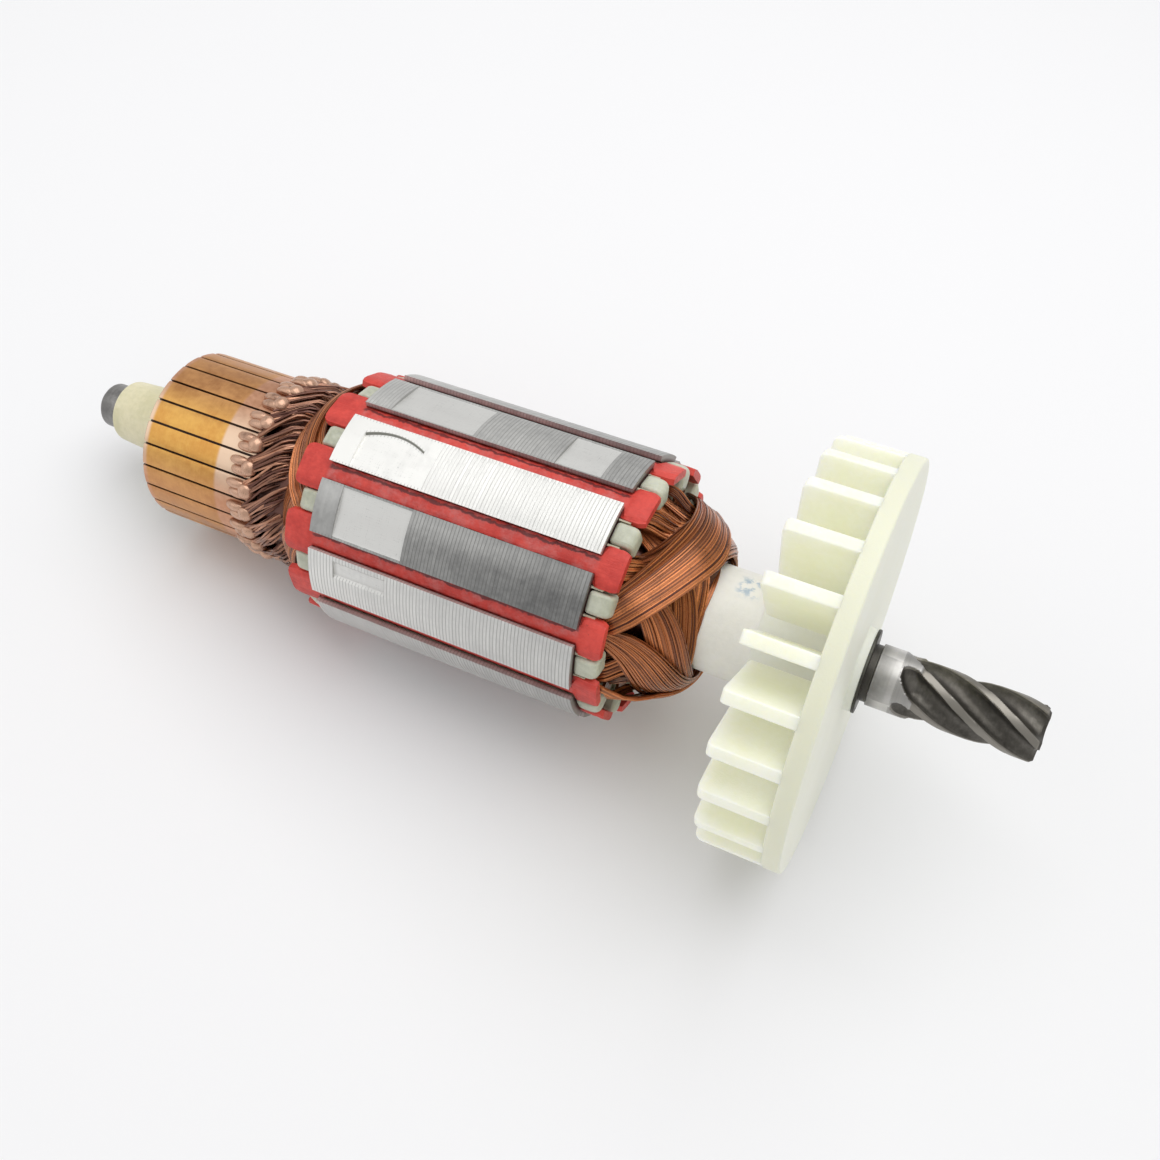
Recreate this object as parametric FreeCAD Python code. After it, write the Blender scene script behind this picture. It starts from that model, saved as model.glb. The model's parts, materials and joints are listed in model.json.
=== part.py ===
"""Motor armature of a power tool, lying at rest on the fan rim and the edge of its stack."""
import FreeCAD, Part
import math
import os

os.makedirs("parts", exist_ok=True)

# Driving dimensions in mm. X runs along the shaft from the commutator to the pinion,
# and x = 0 is the commutator end of the lamination stack.

# Clearances, cutter spare and the direction of the floor
FREE = 0.05
WEDGE_FREE = 0.1
HEAD_GAP = 0.2
SPARE = 1.0
FUSE_TOLERANCE = 0.001
DOWN = 270.0

# Lamination stack
CORE_R = 19.0
CORE_L = 39.5
SLOTS = 12
SLOT_PITCH = 360.0 / SLOTS
OPENING_HALF = 1.25
TIP_DEPTH = 0.8
SHOULDER_DEPTH = 1.5
TOOTH_HALF = 1.7
SLOT_FLOOR_R = 10.6
SLOT_ROUND = 0.7
LINER_T = 0.28
LINER_OVERHANG = 1.6
NECK_R = CORE_R - TIP_DEPTH
SHOULDER_R = CORE_R - SHOULDER_DEPTH

# Balance pockets, milled near the commutator end and measured from there
POCKET_DEPTH = 0.45
FLAT_HALF = 4.8
SCOOP_TOOTH = 105.0
SCOOP_X = 10.0
SCOOP_R = 5.0
SQUARE_TOOTH = 135.0
SQUARE_X = (3.6, 13.8)
NARROW_TOOTH = 165.0
NARROW_X = (4.2, 12.2)
NARROW_SIDE = (-3.0, -0.6)
FLAT_TOOTH = 75.0
FLAT_X = ((4.0, 16.5), (28.5, 35.0))

# Slot wedges
WEDGE_T = 0.7
WEDGE_DEPTH = 0.9
WEDGE_HALF = 2.35
WEDGE_RIB_HALF = 1.15
WEDGE_OVERHANG = 4.5
WEDGE_BASE_R = SHOULDER_R - WEDGE_T
WEDGE_TOP_R = CORE_R - WEDGE_DEPTH

# End insulators
SPIDER_T = 1.2
BLOCK_L = 3.2
BLOCK_HALF = 1.5
BLOCK_H = 3.4
BLOCK_DEPTH = 1.0
BLOCK_EDGE = 0.6
BLOCK_TOP_R = CORE_R - BLOCK_DEPTH

# Winding
LAYERS = 6
LAYER_T = 1.6
COIL_THROW = 5
TURN_INNER_R = 7.6
TURN_OUTER_R = 10.4
LOW_SIDE = (10.75, 13.3)
HIGH_SIDE = (13.5, WEDGE_BASE_R - WEDGE_FREE)
LEG_HALF = 1.75
LEG_RISE = 1.0
HEAD_START = BLOCK_L + HEAD_GAP
TURN_SEGMENTS = 12
LEAD_HALF = 0.42
LEAD_WIDE_HALF = 0.6
LEAD_TWIST = -24.0
LEAD_SPREAD = 4.0
LEAD_TUCK = 0.9

# Commutator
BARS = 24
BAR_PITCH = 360.0 / BARS
BAR_R = 13.0
BAR_T = 4.3
BAR_L = 19.1
BAR_GAP_HALF = 0.32
UNDERCUT = 0.7
COMM_GAP = 14.6
COMM_TURN = -1.5
MOULD_LIP = 0.6
HOOK_RISE = 1.1
HOOK_HALF = 1.0
HOOK_L = 3.0
HOOK_EDGE = 0.3
BAR_INNER_R = BAR_R - BAR_T
COMM_BACK_X = -COMM_GAP
COMM_FRONT_X = COMM_BACK_X - BAR_L
MOULD_FRONT_X = COMM_FRONT_X - MOULD_LIP
HOOK_TOP_R = BAR_R + HOOK_RISE

# Fan
BLADES = 25
BLADE_T = 1.7
BLADE_L = 8.9
BLADE_H = 13.6
BLADE_CORNER = 1.0
BLADE_NICK = 0.3
FAN_R = 28.1
FAN_GAP = 20.8
DISC_T = 2.4
HUB_R = 8.2
HUB_LIP = 1.3
BOSS_R = 5.65
BOSS_T = 1.1
BLADE_FRONT_X = CORE_L + FAN_GAP
DISC_FRONT_X = BLADE_FRONT_X + BLADE_L
DISC_BACK_X = DISC_FRONT_X + DISC_T
BOSS_BACK_X = DISC_BACK_X + BOSS_T

# Shaft and the insulation moulded on it
SHAFT_R = 5.0
REAR_NECK_R = 4.2
TUBE_WALL = 1.0
SLEEVE_R = 7.4
WASHER_R = 5.7
WASHER_T = 0.4
GROOVE_R = 3.85
GROOVE_L = 0.9
FRONT_JOURNAL_R = 4.15
FRONT_JOURNAL_L = 3.1
REAR_JOURNAL_R = 3.5
REAR_JOURNAL_L = 4.3
JOURNAL_CHAMFER = 0.8
TUBE_R = SHAFT_R + TUBE_WALL
SLEEVE_START_X = CORE_L + SPIDER_T
WASHER_BACK_X = BOSS_BACK_X + WASHER_T
JOURNAL_X = WASHER_BACK_X + GROOVE_L
FLUTE_START_X = JOURNAL_X + FRONT_JOURNAL_L

# Pinion
PINION_TEETH = 5
PINION_TIP_R = 3.9
PINION_ROOT_R = 2.5
PINION_L = 18.1
HELIX_ANGLE = 30.5
LAND_HALF = 9.0
PINION_TURN = -14.1
RUNOUT_L = 5.5
RUNOUT_STEPS = 4
FLUTE_LAP = 1.0
TIP_X = FLUTE_START_X + PINION_L

# Rear collar
COLLAR_L = 12.8
COLLAR_END_R = 4.8
COLLAR_WAIST_R = 5.4
COLLAR_FLARE_R = 6.2
COLLAR_WAIST_L = 4.5
REAR_SHOULDER_X = MOULD_FRONT_X - COLLAR_L
REAR_END_X = REAR_SHOULDER_X - REAR_JOURNAL_L


def vec(x, radius, angle):
    """Point at an axial place, radius and angle about the shaft."""
    turn = math.radians(angle)
    return FreeCAD.Vector(x, radius * math.cos(turn), radius * math.sin(turn))


def local(x, side, height, angle):
    """Point in a flat that stands on the radius at the angle: side is tangential."""
    turn = math.radians(angle)
    y = height * math.cos(turn) - side * math.sin(turn)
    z = height * math.sin(turn) + side * math.cos(turn)
    return FreeCAD.Vector(x, y, z)


def spin(shape, angle):
    """Copy of the shape turned about the shaft axis."""
    out = shape.copy()
    out.rotate(FreeCAD.Vector(0, 0, 0), FreeCAD.Vector(1, 0, 0), angle)
    return out


def prism(points, direction):
    """Solid swept straight from a closed polygon."""
    wire = Part.makePolygon(points + [points[0]])
    return Part.Face(wire).extrude(direction)


def bar(x0, x1, outline, angle):
    """Axial prism from a tangential and radial outline."""
    points = [local(x0, side, height, angle) for side, height in outline]
    return prism(points, FreeCAD.Vector(x1 - x0, 0, 0))


def plate(outline, half, angle):
    """Prism from an axial and radial outline, centred on the radius at the angle."""
    points = [local(x, -half, height, angle) for x, height in outline]
    step = local(0, 2.0 * half, 0, angle)
    return prism(points, step)


def turned(outline):
    """Solid of revolution about the shaft from axial and radial points."""
    points = [FreeCAD.Vector(x, radius, 0) for x, radius in outline]
    face = Part.Face(Part.makePolygon(points + [points[0]]))
    return face.revolve(FreeCAD.Vector(0, 0, 0), FreeCAD.Vector(1, 0, 0), 360)


def tube(x0, x1, inner, outer):
    """Plain ring about the shaft."""
    return turned([(x0, inner), (x1, inner), (x1, outer), (x0, outer)])


def fused(shapes):
    """One solid from touching shapes."""
    return shapes[0].multiFuse(shapes[1:]).removeSplitter()


def slot_half(radius):
    """Half width of a slot beside teeth with parallel sides."""
    lean = math.radians(0.5 * SLOT_PITCH)
    return radius * math.tan(lean) - TOOTH_HALF / math.cos(lean)


def mirrored(outline):
    """Closed outline from its right half, given from the bottom up."""
    return outline + [(-side, height) for side, height in reversed(outline)]


def slot_outline(inset):
    """Right half of a slot below the tooth tips, inset on the side and the floor."""
    low = slot_half(SLOT_FLOOR_R) - inset
    floor = SLOT_FLOOR_R - SLOT_ROUND + inset
    return [(low - SLOT_ROUND, floor), (low, SLOT_FLOOR_R), (slot_half(SHOULDER_R) - inset, SHOULDER_R)]


def slot_cutter(x0, x1, angle, spare):
    """Full slot with its opening to the outside, grown by the spare."""
    outline = slot_outline(-spare)
    outline += [(OPENING_HALF + spare, NECK_R), (OPENING_HALF + spare, CORE_R + SPARE)]
    return bar(x0, x1, mirrored(outline), angle)


def flat_cutter(tooth, x0, x1, low, high):
    """Block whose underside mills a flat across part of a tooth."""
    floor_r = CORE_R - POCKET_DEPTH
    outline = [(low, floor_r), (high, floor_r), (high, CORE_R + SPARE), (low, CORE_R + SPARE)]
    return bar(x0, x1, outline, tooth)


def make_core():
    """Lamination stack with its slots and the balance pockets of four teeth."""
    stack = tube(0, CORE_L, TUBE_R, CORE_R)
    cutters = [slot_cutter(-SPARE, CORE_L + SPARE, SLOT_PITCH * i, 0.0) for i in range(SLOTS)]
    up = local(0, 0, 1, SCOOP_TOOTH)
    cutters.append(Part.makeCylinder(SCOOP_R, SPARE, local(SCOOP_X, 0, CORE_R - POCKET_DEPTH, SCOOP_TOOTH), up))
    cutters.append(flat_cutter(SQUARE_TOOTH, SQUARE_X[0], SQUARE_X[1], -FLAT_HALF, FLAT_HALF))
    cutters.append(flat_cutter(NARROW_TOOTH, NARROW_X[0], NARROW_X[1], NARROW_SIDE[0], NARROW_SIDE[1]))
    for x0, x1 in FLAT_X:
        cutters.append(flat_cutter(FLAT_TOOTH, x0, x1, -FLAT_HALF, FLAT_HALF))
    return stack.cut(cutters)


def make_insulator(face_x, out):
    """Spider against an end of the stack, with a block beyond each tooth."""
    ring_end = face_x + out * SPIDER_T
    block_end = face_x + out * BLOCK_L
    x0 = min(face_x, ring_end)
    x1 = max(face_x, ring_end)
    ring = tube(x0, x1, TUBE_R, BLOCK_TOP_R)
    ring = ring.cut([slot_cutter(x0 - SPARE, x1 + SPARE, SLOT_PITCH * i, FREE) for i in range(SLOTS)])
    low = BLOCK_TOP_R - BLOCK_H
    edge = BLOCK_EDGE
    outline = [(face_x, low), (block_end - out * edge, low), (block_end, low + edge)]
    outline += [(block_end, BLOCK_TOP_R - edge), (block_end - out * edge, BLOCK_TOP_R), (face_x, BLOCK_TOP_R)]
    blocks = [plate(outline, BLOCK_HALF, SLOT_PITCH * (i + 0.5)) for i in range(SLOTS)]
    return fused([ring] + blocks)


def make_liner(angle):
    """Thin open sheet against the sides and the floor of a slot."""
    x0 = -LINER_OVERHANG
    x1 = CORE_L + LINER_OVERHANG
    outer = bar(x0, x1, mirrored(slot_outline(0.0)), angle)
    inner = bar(x0 - SPARE, x1 + SPARE, mirrored(slot_outline(LINER_T)), angle)
    return outer.cut(inner)


def make_wedge(angle):
    """Strip that closes a slot, with a raised rib in the opening."""
    rib = WEDGE_RIB_HALF
    half = [(WEDGE_HALF, WEDGE_BASE_R), (WEDGE_HALF, SHOULDER_R), (rib, WEDGE_TOP_R - HEAD_GAP), (rib, WEDGE_TOP_R)]
    return bar(-WEDGE_OVERHANG, CORE_L + WEDGE_OVERHANG, mirrored(half), angle)


def coil_side(angle, band):
    """Straight bundle of wire in one half of a slot."""
    low = min(slot_half(band[0]) - LINER_T - FREE, LEG_HALF)
    top = slot_half(band[1]) - LINER_T - FREE
    return bar(-HEAD_START, CORE_L + HEAD_START, mirrored([(low, band[0]), (top, band[1])]), angle)


def coil_leg(angle, band, layer, face_x, out):
    """Bundle that leaves a slot and slopes down to its layer of the head."""
    start = face_x + out * BLOCK_L
    bend = start + out * LEG_RISE
    near = face_x + out * (HEAD_START + LAYER_T * layer)
    far = near + out * LAYER_T
    outline = [(start, band[0]), (start, band[1]), (bend, band[1]), (far, TURN_OUTER_R)]
    outline += [(far, TURN_INNER_R), (near, TURN_INNER_R), (near, TURN_OUTER_R)]
    if band is HIGH_SIDE:
        outline.append((bend, band[0]))
    return plate(outline, LEG_HALF, angle)


def coil_turn(angle, layer, face_x, out):
    """End turn that curves round the shaft between the two slots of a coil."""
    near = face_x + out * (HEAD_START + LAYER_T * layer)
    reach = math.degrees(math.asin(LEG_HALF / TURN_INNER_R))
    start = angle - reach
    step = (COIL_THROW * SLOT_PITCH + 2.0 * reach) / TURN_SEGMENTS
    points = [vec(near, TURN_INNER_R, start + step * i) for i in range(TURN_SEGMENTS + 1)]
    points += [vec(near, TURN_OUTER_R, start + step * i) for i in range(TURN_SEGMENTS, -1, -1)]
    return prism(points, FreeCAD.Vector(out * LAYER_T, 0, 0))


def make_coil(index):
    """Closed bundle through two slots with a head at each end of the stack."""
    layer = index % LAYERS
    first = index * SLOT_PITCH
    second = first + COIL_THROW * SLOT_PITCH
    first_band = HIGH_SIDE if layer == LAYERS - 1 else LOW_SIDE
    second_band = LOW_SIDE if layer == 0 else HIGH_SIDE
    solids = []
    for angle, band in ((first, first_band), (second, second_band)):
        solids.append(coil_side(angle, band))
        solids.append(coil_leg(angle, band, layer, CORE_L, 1))
        solids.append(coil_leg(angle, band, layer, 0.0, -1))
    solids.append(coil_turn(first, layer, CORE_L, 1))
    solids.append(coil_turn(first, layer, 0.0, -1))
    return fused(solids)


def make_lead(index):
    """Pair of wire ends from a slot mouth to the hook of a commutator bar."""
    hook_angle = index * BAR_PITCH + COMM_TURN
    side = LEAD_SPREAD if index % 2 else -LEAD_SPREAD
    slot_angle = SLOT_PITCH * round((index * BAR_PITCH + LEAD_TWIST) / SLOT_PITCH) + side
    a = vec(COMM_BACK_X, 0.5 * (HOOK_TOP_R + BAR_R), hook_angle)
    b = vec(-BLOCK_L - LEAD_TUCK, HIGH_SIDE[1] - LEAD_TUCK, slot_angle)
    along = b.sub(a)
    across = along.cross(vec(0, 1, hook_angle))
    across.normalize()
    up = across.cross(along)
    up.normalize()
    corners = []
    for side, rise in ((-1, -1), (1, -1), (1, 1), (-1, 1)):
        shift = FreeCAD.Vector(across).multiply(side * LEAD_WIDE_HALF)
        lift = FreeCAD.Vector(up).multiply(rise * LEAD_HALF)
        corners.append(a.add(shift).add(lift))
    return prism(corners, along)


def make_bar(index):
    """Commutator bar with its hook."""
    half = 0.5 * BAR_PITCH
    outer = half - math.degrees(math.asin(BAR_GAP_HALF / BAR_R))
    inner = half - math.degrees(math.asin(BAR_GAP_HALF / BAR_INNER_R))
    x = COMM_FRONT_X
    top = Part.Arc(vec(x, BAR_R, -outer), vec(x, BAR_R, 0), vec(x, BAR_R, outer)).toShape()
    low = Part.Arc(vec(x, BAR_INNER_R, inner), vec(x, BAR_INNER_R, 0), vec(x, BAR_INNER_R, -inner)).toShape()
    side_a = Part.makeLine(vec(x, BAR_R, outer), vec(x, BAR_INNER_R, inner))
    side_b = Part.makeLine(vec(x, BAR_INNER_R, -inner), vec(x, BAR_R, -outer))
    body = Part.Face(Part.Wire([top, side_a, low, side_b]))
    body = body.extrude(FreeCAD.Vector(COMM_BACK_X - COMM_FRONT_X, 0, 0))
    end = COMM_BACK_X
    edge = HOOK_EDGE
    outline = [(end - HOOK_L, BAR_R - edge), (end - HOOK_L, BAR_R + edge)]
    outline += [(end - HOOK_L + 2.0 * edge, HOOK_TOP_R), (end - edge, HOOK_TOP_R)]
    outline += [(end, HOOK_TOP_R - edge), (end, BAR_R - edge)]
    hook = plate(outline, HOOK_HALF, 0)
    return spin(fused([body, hook]), index * BAR_PITCH + COMM_TURN)


def make_moulding():
    """Insulating body of the commutator, with a fin between each pair of bars."""
    barrel = tube(MOULD_FRONT_X, COMM_BACK_X + MOULD_LIP, TUBE_R, BAR_INNER_R)
    outline = mirrored([(BAR_GAP_HALF, BAR_INNER_R - BAR_GAP_HALF), (BAR_GAP_HALF, BAR_R - UNDERCUT)])
    places = [BAR_PITCH * (i + 0.5) + COMM_TURN for i in range(BARS)]
    fins = [bar(COMM_FRONT_X, COMM_BACK_X, outline, angle) for angle in places]
    return fused([barrel] + fins)


def pinion_wire():
    """Cross-section of the pinion with rounded flutes between narrow lands."""
    pitch = 360.0 / PINION_TEETH
    edges = []
    for i in range(PINION_TEETH):
        mid = i * pitch
        a = vec(0, PINION_TIP_R, mid - LAND_HALF)
        b = vec(0, PINION_TIP_R, mid)
        c = vec(0, PINION_TIP_R, mid + LAND_HALF)
        d = vec(0, PINION_ROOT_R, mid + 0.5 * pitch)
        e = vec(0, PINION_TIP_R, mid + pitch - LAND_HALF)
        edges.append(Part.Arc(a, b, c).toShape())
        edges.append(Part.Arc(c, d, e).toShape())
    return Part.Wire(edges)


def make_pinion():
    """Helical teeth swept along the shaft."""
    lead = 2.0 * math.pi * PINION_TIP_R / math.tan(math.radians(HELIX_ANGLE))
    start = FLUTE_START_X - FLUTE_LAP
    path = Part.makeHelix(lead, TIP_X - start, PINION_TIP_R)
    path.rotate(FreeCAD.Vector(0, 0, 0), FreeCAD.Vector(0, 1, 0), 90)
    sweep = Part.BRepOffsetAPI.MakePipeShell(Part.Wire(path.Edges))
    sweep.setFrenetMode(True)
    sweep.add(pinion_wire())
    sweep.build()
    sweep.makeSolid()
    teeth = sweep.shape()
    teeth.translate(FreeCAD.Vector(start, 0, 0))
    return spin(teeth, PINION_TURN)


def make_runout():
    """Core of the pinion, rising on an arc to the journal where the flutes end."""
    outline = [(FLUTE_START_X - FLUTE_LAP, 0), (FLUTE_START_X - FLUTE_LAP, FRONT_JOURNAL_R)]
    for i in range(RUNOUT_STEPS + 1):
        turn = 0.5 * math.pi * i / RUNOUT_STEPS
        drop = (FRONT_JOURNAL_R - PINION_ROOT_R) * (1.0 - math.cos(turn))
        outline.append((FLUTE_START_X + RUNOUT_L * math.sin(turn), FRONT_JOURNAL_R - drop))
    outline.append((FLUTE_START_X + RUNOUT_L, 0))
    return turned(outline)


def make_shaft():
    """Shaft from the rear journal to the pinion."""
    outline = [(REAR_END_X, 0), (REAR_END_X, REAR_JOURNAL_R - JOURNAL_CHAMFER)]
    outline += [(REAR_END_X + JOURNAL_CHAMFER, REAR_JOURNAL_R), (REAR_SHOULDER_X, REAR_JOURNAL_R)]
    outline += [(REAR_SHOULDER_X, REAR_NECK_R), (MOULD_FRONT_X, REAR_NECK_R), (MOULD_FRONT_X, SHAFT_R)]
    outline += [(WASHER_BACK_X, SHAFT_R), (WASHER_BACK_X, GROOVE_R)]
    outline += [(JOURNAL_X, GROOVE_R), (JOURNAL_X, FRONT_JOURNAL_R)]
    outline += [(FLUTE_START_X, FRONT_JOURNAL_R), (FLUTE_START_X, 0)]
    return turned(outline).multiFuse([make_runout(), make_pinion()], FUSE_TOLERANCE)


def make_fan():
    """Radial blades on a disc with a hub in front and a boss behind."""
    disc = tube(DISC_FRONT_X, DISC_BACK_X, SHAFT_R, FAN_R)
    boss = tube(DISC_BACK_X, BOSS_BACK_X, SHAFT_R, BOSS_R)
    hub = tube(BLADE_FRONT_X - HUB_LIP, DISC_FRONT_X, SLEEVE_R, HUB_R)
    corner = BLADE_CORNER
    inner = FAN_R - BLADE_H
    outline = [(BLADE_FRONT_X, inner + corner), (BLADE_FRONT_X, FAN_R - corner)]
    outline += [(BLADE_FRONT_X + BLADE_NICK, FAN_R - BLADE_NICK), (BLADE_FRONT_X + corner, FAN_R)]
    outline += [(DISC_FRONT_X + 0.5 * DISC_T, FAN_R), (DISC_FRONT_X + 0.5 * DISC_T, inner)]
    outline += [(BLADE_FRONT_X + corner, inner)]
    blades = [plate(outline, 0.5 * BLADE_T, DOWN + 360.0 / BLADES * i) for i in range(BLADES)]
    return fused([disc, boss, hub] + blades)


def make_insulation():
    """Tube on the shaft below the commutator and the stack, and the front sleeve."""
    outline = [(MOULD_FRONT_X, SHAFT_R), (DISC_FRONT_X, SHAFT_R), (DISC_FRONT_X, SLEEVE_R)]
    outline += [(SLEEVE_START_X, SLEEVE_R), (SLEEVE_START_X, TUBE_R), (MOULD_FRONT_X, TUBE_R)]
    return turned(outline)


def make_collar():
    """Flared collar on the shaft in front of the commutator."""
    waist = MOULD_FRONT_X - COLLAR_WAIST_L
    outline = [(REAR_SHOULDER_X, REAR_NECK_R), (MOULD_FRONT_X, REAR_NECK_R), (MOULD_FRONT_X, COLLAR_FLARE_R)]
    outline += [(waist, COLLAR_WAIST_R), (REAR_SHOULDER_X, COLLAR_END_R)]
    return turned(outline)


def settle():
    """Tilt and shift that put the blade corner and the stack edge on the floor."""
    edge_r = math.sqrt(CORE_R ** 2 - OPENING_HALF ** 2)
    reach = BLADE_FRONT_X + BLADE_CORNER
    return math.atan((FAN_R - edge_r) / reach), edge_r


nodes = {}
nodes["shaft"] = make_shaft()
nodes["rear_collar"] = make_collar()
nodes["shaft_insulation"] = make_insulation()
nodes["commutator_moulding"] = make_moulding()
for i in range(BARS):
    nodes["commutator_bar_%02d" % (i + 1)] = make_bar(i)
nodes["core"] = make_core()
nodes["end_insulator_rear"] = make_insulator(0.0, -1)
nodes["end_insulator_front"] = make_insulator(CORE_L, 1)
nodes["slot_liners"] = Part.makeCompound([make_liner(SLOT_PITCH * i) for i in range(SLOTS)])
for i in range(SLOTS):
    nodes["slot_wedge_%02d" % (i + 1)] = make_wedge(SLOT_PITCH * i)
coils = [make_coil(i) for i in range(SLOTS)]
for i in range(SLOTS):
    nodes["coil_%02d" % (i + 1)] = coils[i]
blocks = coils + [nodes["commutator_bar_%02d" % (i + 1)] for i in range(BARS)]
nodes["lead_wires"] = Part.makeCompound([make_lead(i).cut(blocks) for i in range(BARS)])
nodes["fan"] = make_fan()
nodes["washer"] = tube(BOSS_BACK_X, WASHER_BACK_X, SHAFT_R, WASHER_R)

tilt, edge_r = settle()
whole = Part.makeCompound(list(nodes.values()))
whole.rotate(FreeCAD.Vector(0, 0, 0), FreeCAD.Vector(0, 1, 0), -math.degrees(tilt))
box = whole.optimalBoundingBox(False, False)
shift = FreeCAD.Vector(-0.5 * (box.XMin + box.XMax), -0.5 * (box.YMin + box.YMax), edge_r * math.cos(tilt))
for name, shape in nodes.items():
    shape.rotate(FreeCAD.Vector(0, 0, 0), FreeCAD.Vector(0, 1, 0), -math.degrees(tilt))
    shape.translate(shift)
    shape.exportStep("parts/%s.step" % name)
    print("%-22s solids %2d valid %s volume %8.1f" % (name, len(shape.Solids), shape.isValid(), shape.Volume))
print("tilt %.3f shift %s low %.3f" % (math.degrees(tilt), shift, box.ZMin + shift.z))
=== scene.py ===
import json
import logging
import math
import random
from dataclasses import dataclass, field
from enum import Enum
from typing import Iterable, Sequence

import bmesh
import bpy
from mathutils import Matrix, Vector


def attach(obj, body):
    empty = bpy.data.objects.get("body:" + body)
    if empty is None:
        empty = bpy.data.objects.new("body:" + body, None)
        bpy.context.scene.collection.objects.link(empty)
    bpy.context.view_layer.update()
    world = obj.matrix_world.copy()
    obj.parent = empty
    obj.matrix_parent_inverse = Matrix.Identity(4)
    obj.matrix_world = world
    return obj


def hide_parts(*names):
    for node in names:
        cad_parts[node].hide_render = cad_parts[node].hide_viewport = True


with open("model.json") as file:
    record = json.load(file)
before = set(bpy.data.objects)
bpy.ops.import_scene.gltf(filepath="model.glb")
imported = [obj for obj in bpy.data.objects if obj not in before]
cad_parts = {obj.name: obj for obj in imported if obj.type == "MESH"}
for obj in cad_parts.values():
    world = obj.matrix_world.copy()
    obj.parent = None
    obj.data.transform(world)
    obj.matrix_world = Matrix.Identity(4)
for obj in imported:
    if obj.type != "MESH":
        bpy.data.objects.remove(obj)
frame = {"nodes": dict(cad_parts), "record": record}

log = logging.getLogger("armature")

Pair = tuple[float, float]
Triple = tuple[float, float, float]
Colour = tuple[float, float, float]
Tones = tuple[Colour, Colour]
Socket = bpy.types.NodeSocket
Place = dict[str, Socket]

MM = 0.001
SEED = 11
ACROSS = Vector((0.0, 1.0, 0.0))
WELD = 1e-7
LEAST_STEP = 1e-6
AXIS_R = 0.01

# Dimensions in mm that more than one class uses. X runs along the shaft and x = 0 is the
# commutator end of the stack.

# Lamination stack and its slots
CORE_L = 39.5
SLOTS = 12
SLOT_PITCH = 360.0 / SLOTS
SHEET_PITCH = 0.5
TOOTH_HALF = 1.7

# Commutator
BARS = 24
BAR_PITCH = 360.0 / BARS
BAR_R = 13.0
BAR_START_X = -33.7
BAR_END_X = -14.6
COMM_TURN = -1.5
MOULD_START_X = -34.3

# Fan
FAN_R = 28.1
DISC_START_X = 69.2
BOSS_END_X = 72.7

# Shaft and the parts moulded on it
SHAFT_R = 5.0
NECK_R = 4.2
TUBE_R = 6.0
SLEEVE_R = 7.4
WASHER_END_X = 73.1
REAR_END_X = -51.4
REAR_SHOULDER_X = -47.1
JOURNAL_CHAMFER = 0.8


class Look(Enum):
    """Names of the finishes."""

    STEEL = "steel"
    PINION = "pinion"
    WASHER = "washer"
    BARS = "bars"
    HOOKS = "hooks"
    CORE = "core"
    WIRE = "wire"
    LEADS = "leads"
    FAN = "fan"
    DISC = "disc"
    SLEEVE = "sleeve"
    COLLAR = "collar"
    INSULATOR = "insulator"
    LINER = "liner"
    WEDGE = "wedge"
    RESIN = "resin"


Finishes = dict[Look, bpy.types.Material]


def polar(x: float, radius: float, angle: float) -> Vector:
    """Point in shaft millimetres from a place, a radius and an angle in degrees."""
    turn = math.radians(angle)
    return Vector((x, radius * math.cos(turn), radius * math.sin(turn)))


def local(x: float, side: float, height: float, angle: float) -> Vector:
    """Point beside the radius at an angle, at a height above the shaft axis.

    Args:
        x: Place along the shaft in millimetres.
        side: Distance to the side of the radius.
        height: Height over the shaft axis.
        angle: Angle round the shaft in degrees.

    Returns:
        The point in shaft millimetres.
    """
    turn = math.radians(angle)
    y = height * math.cos(turn) - side * math.sin(turn)
    z = height * math.sin(turn) + side * math.cos(turn)
    return Vector((x, y, z))


def smooth(value: float) -> float:
    """Ease from 0 to 1 with flat ends."""
    value = min(max(value, 0.0), 1.0)
    return value * value * (3.0 - 2.0 * value)


@dataclass(frozen=True)
class ShaftFrame:
    """Place of the shaft in the row frame."""

    origin: Vector
    along: Vector
    up: Vector

    @classmethod
    def from_record(cls, record: dict) -> "ShaftFrame":
        """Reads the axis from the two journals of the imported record.

        Args:
            record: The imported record, with its mounts.

        Returns:
            The frame whose x is counted from the commutator end of the stack.
        """
        places = {m["name"]: Vector(m["pos_m"]) for m in record["mounts"]}
        rear = places["rear_journal"]
        along = (places["front_journal"] - rear).normalized()
        middle = 0.5 * (REAR_SHOULDER_X + REAR_END_X) + 0.5 * JOURNAL_CHAMFER
        up = along.cross(ACROSS).normalized()
        return cls(rear - along * middle * MM, along, up)

    def world(self, point: Vector) -> Vector:
        """Row frame point of a shaft point in millimetres."""
        return self.origin + (self.along * point.x + ACROSS * point.y + self.up * point.z) * MM


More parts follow.
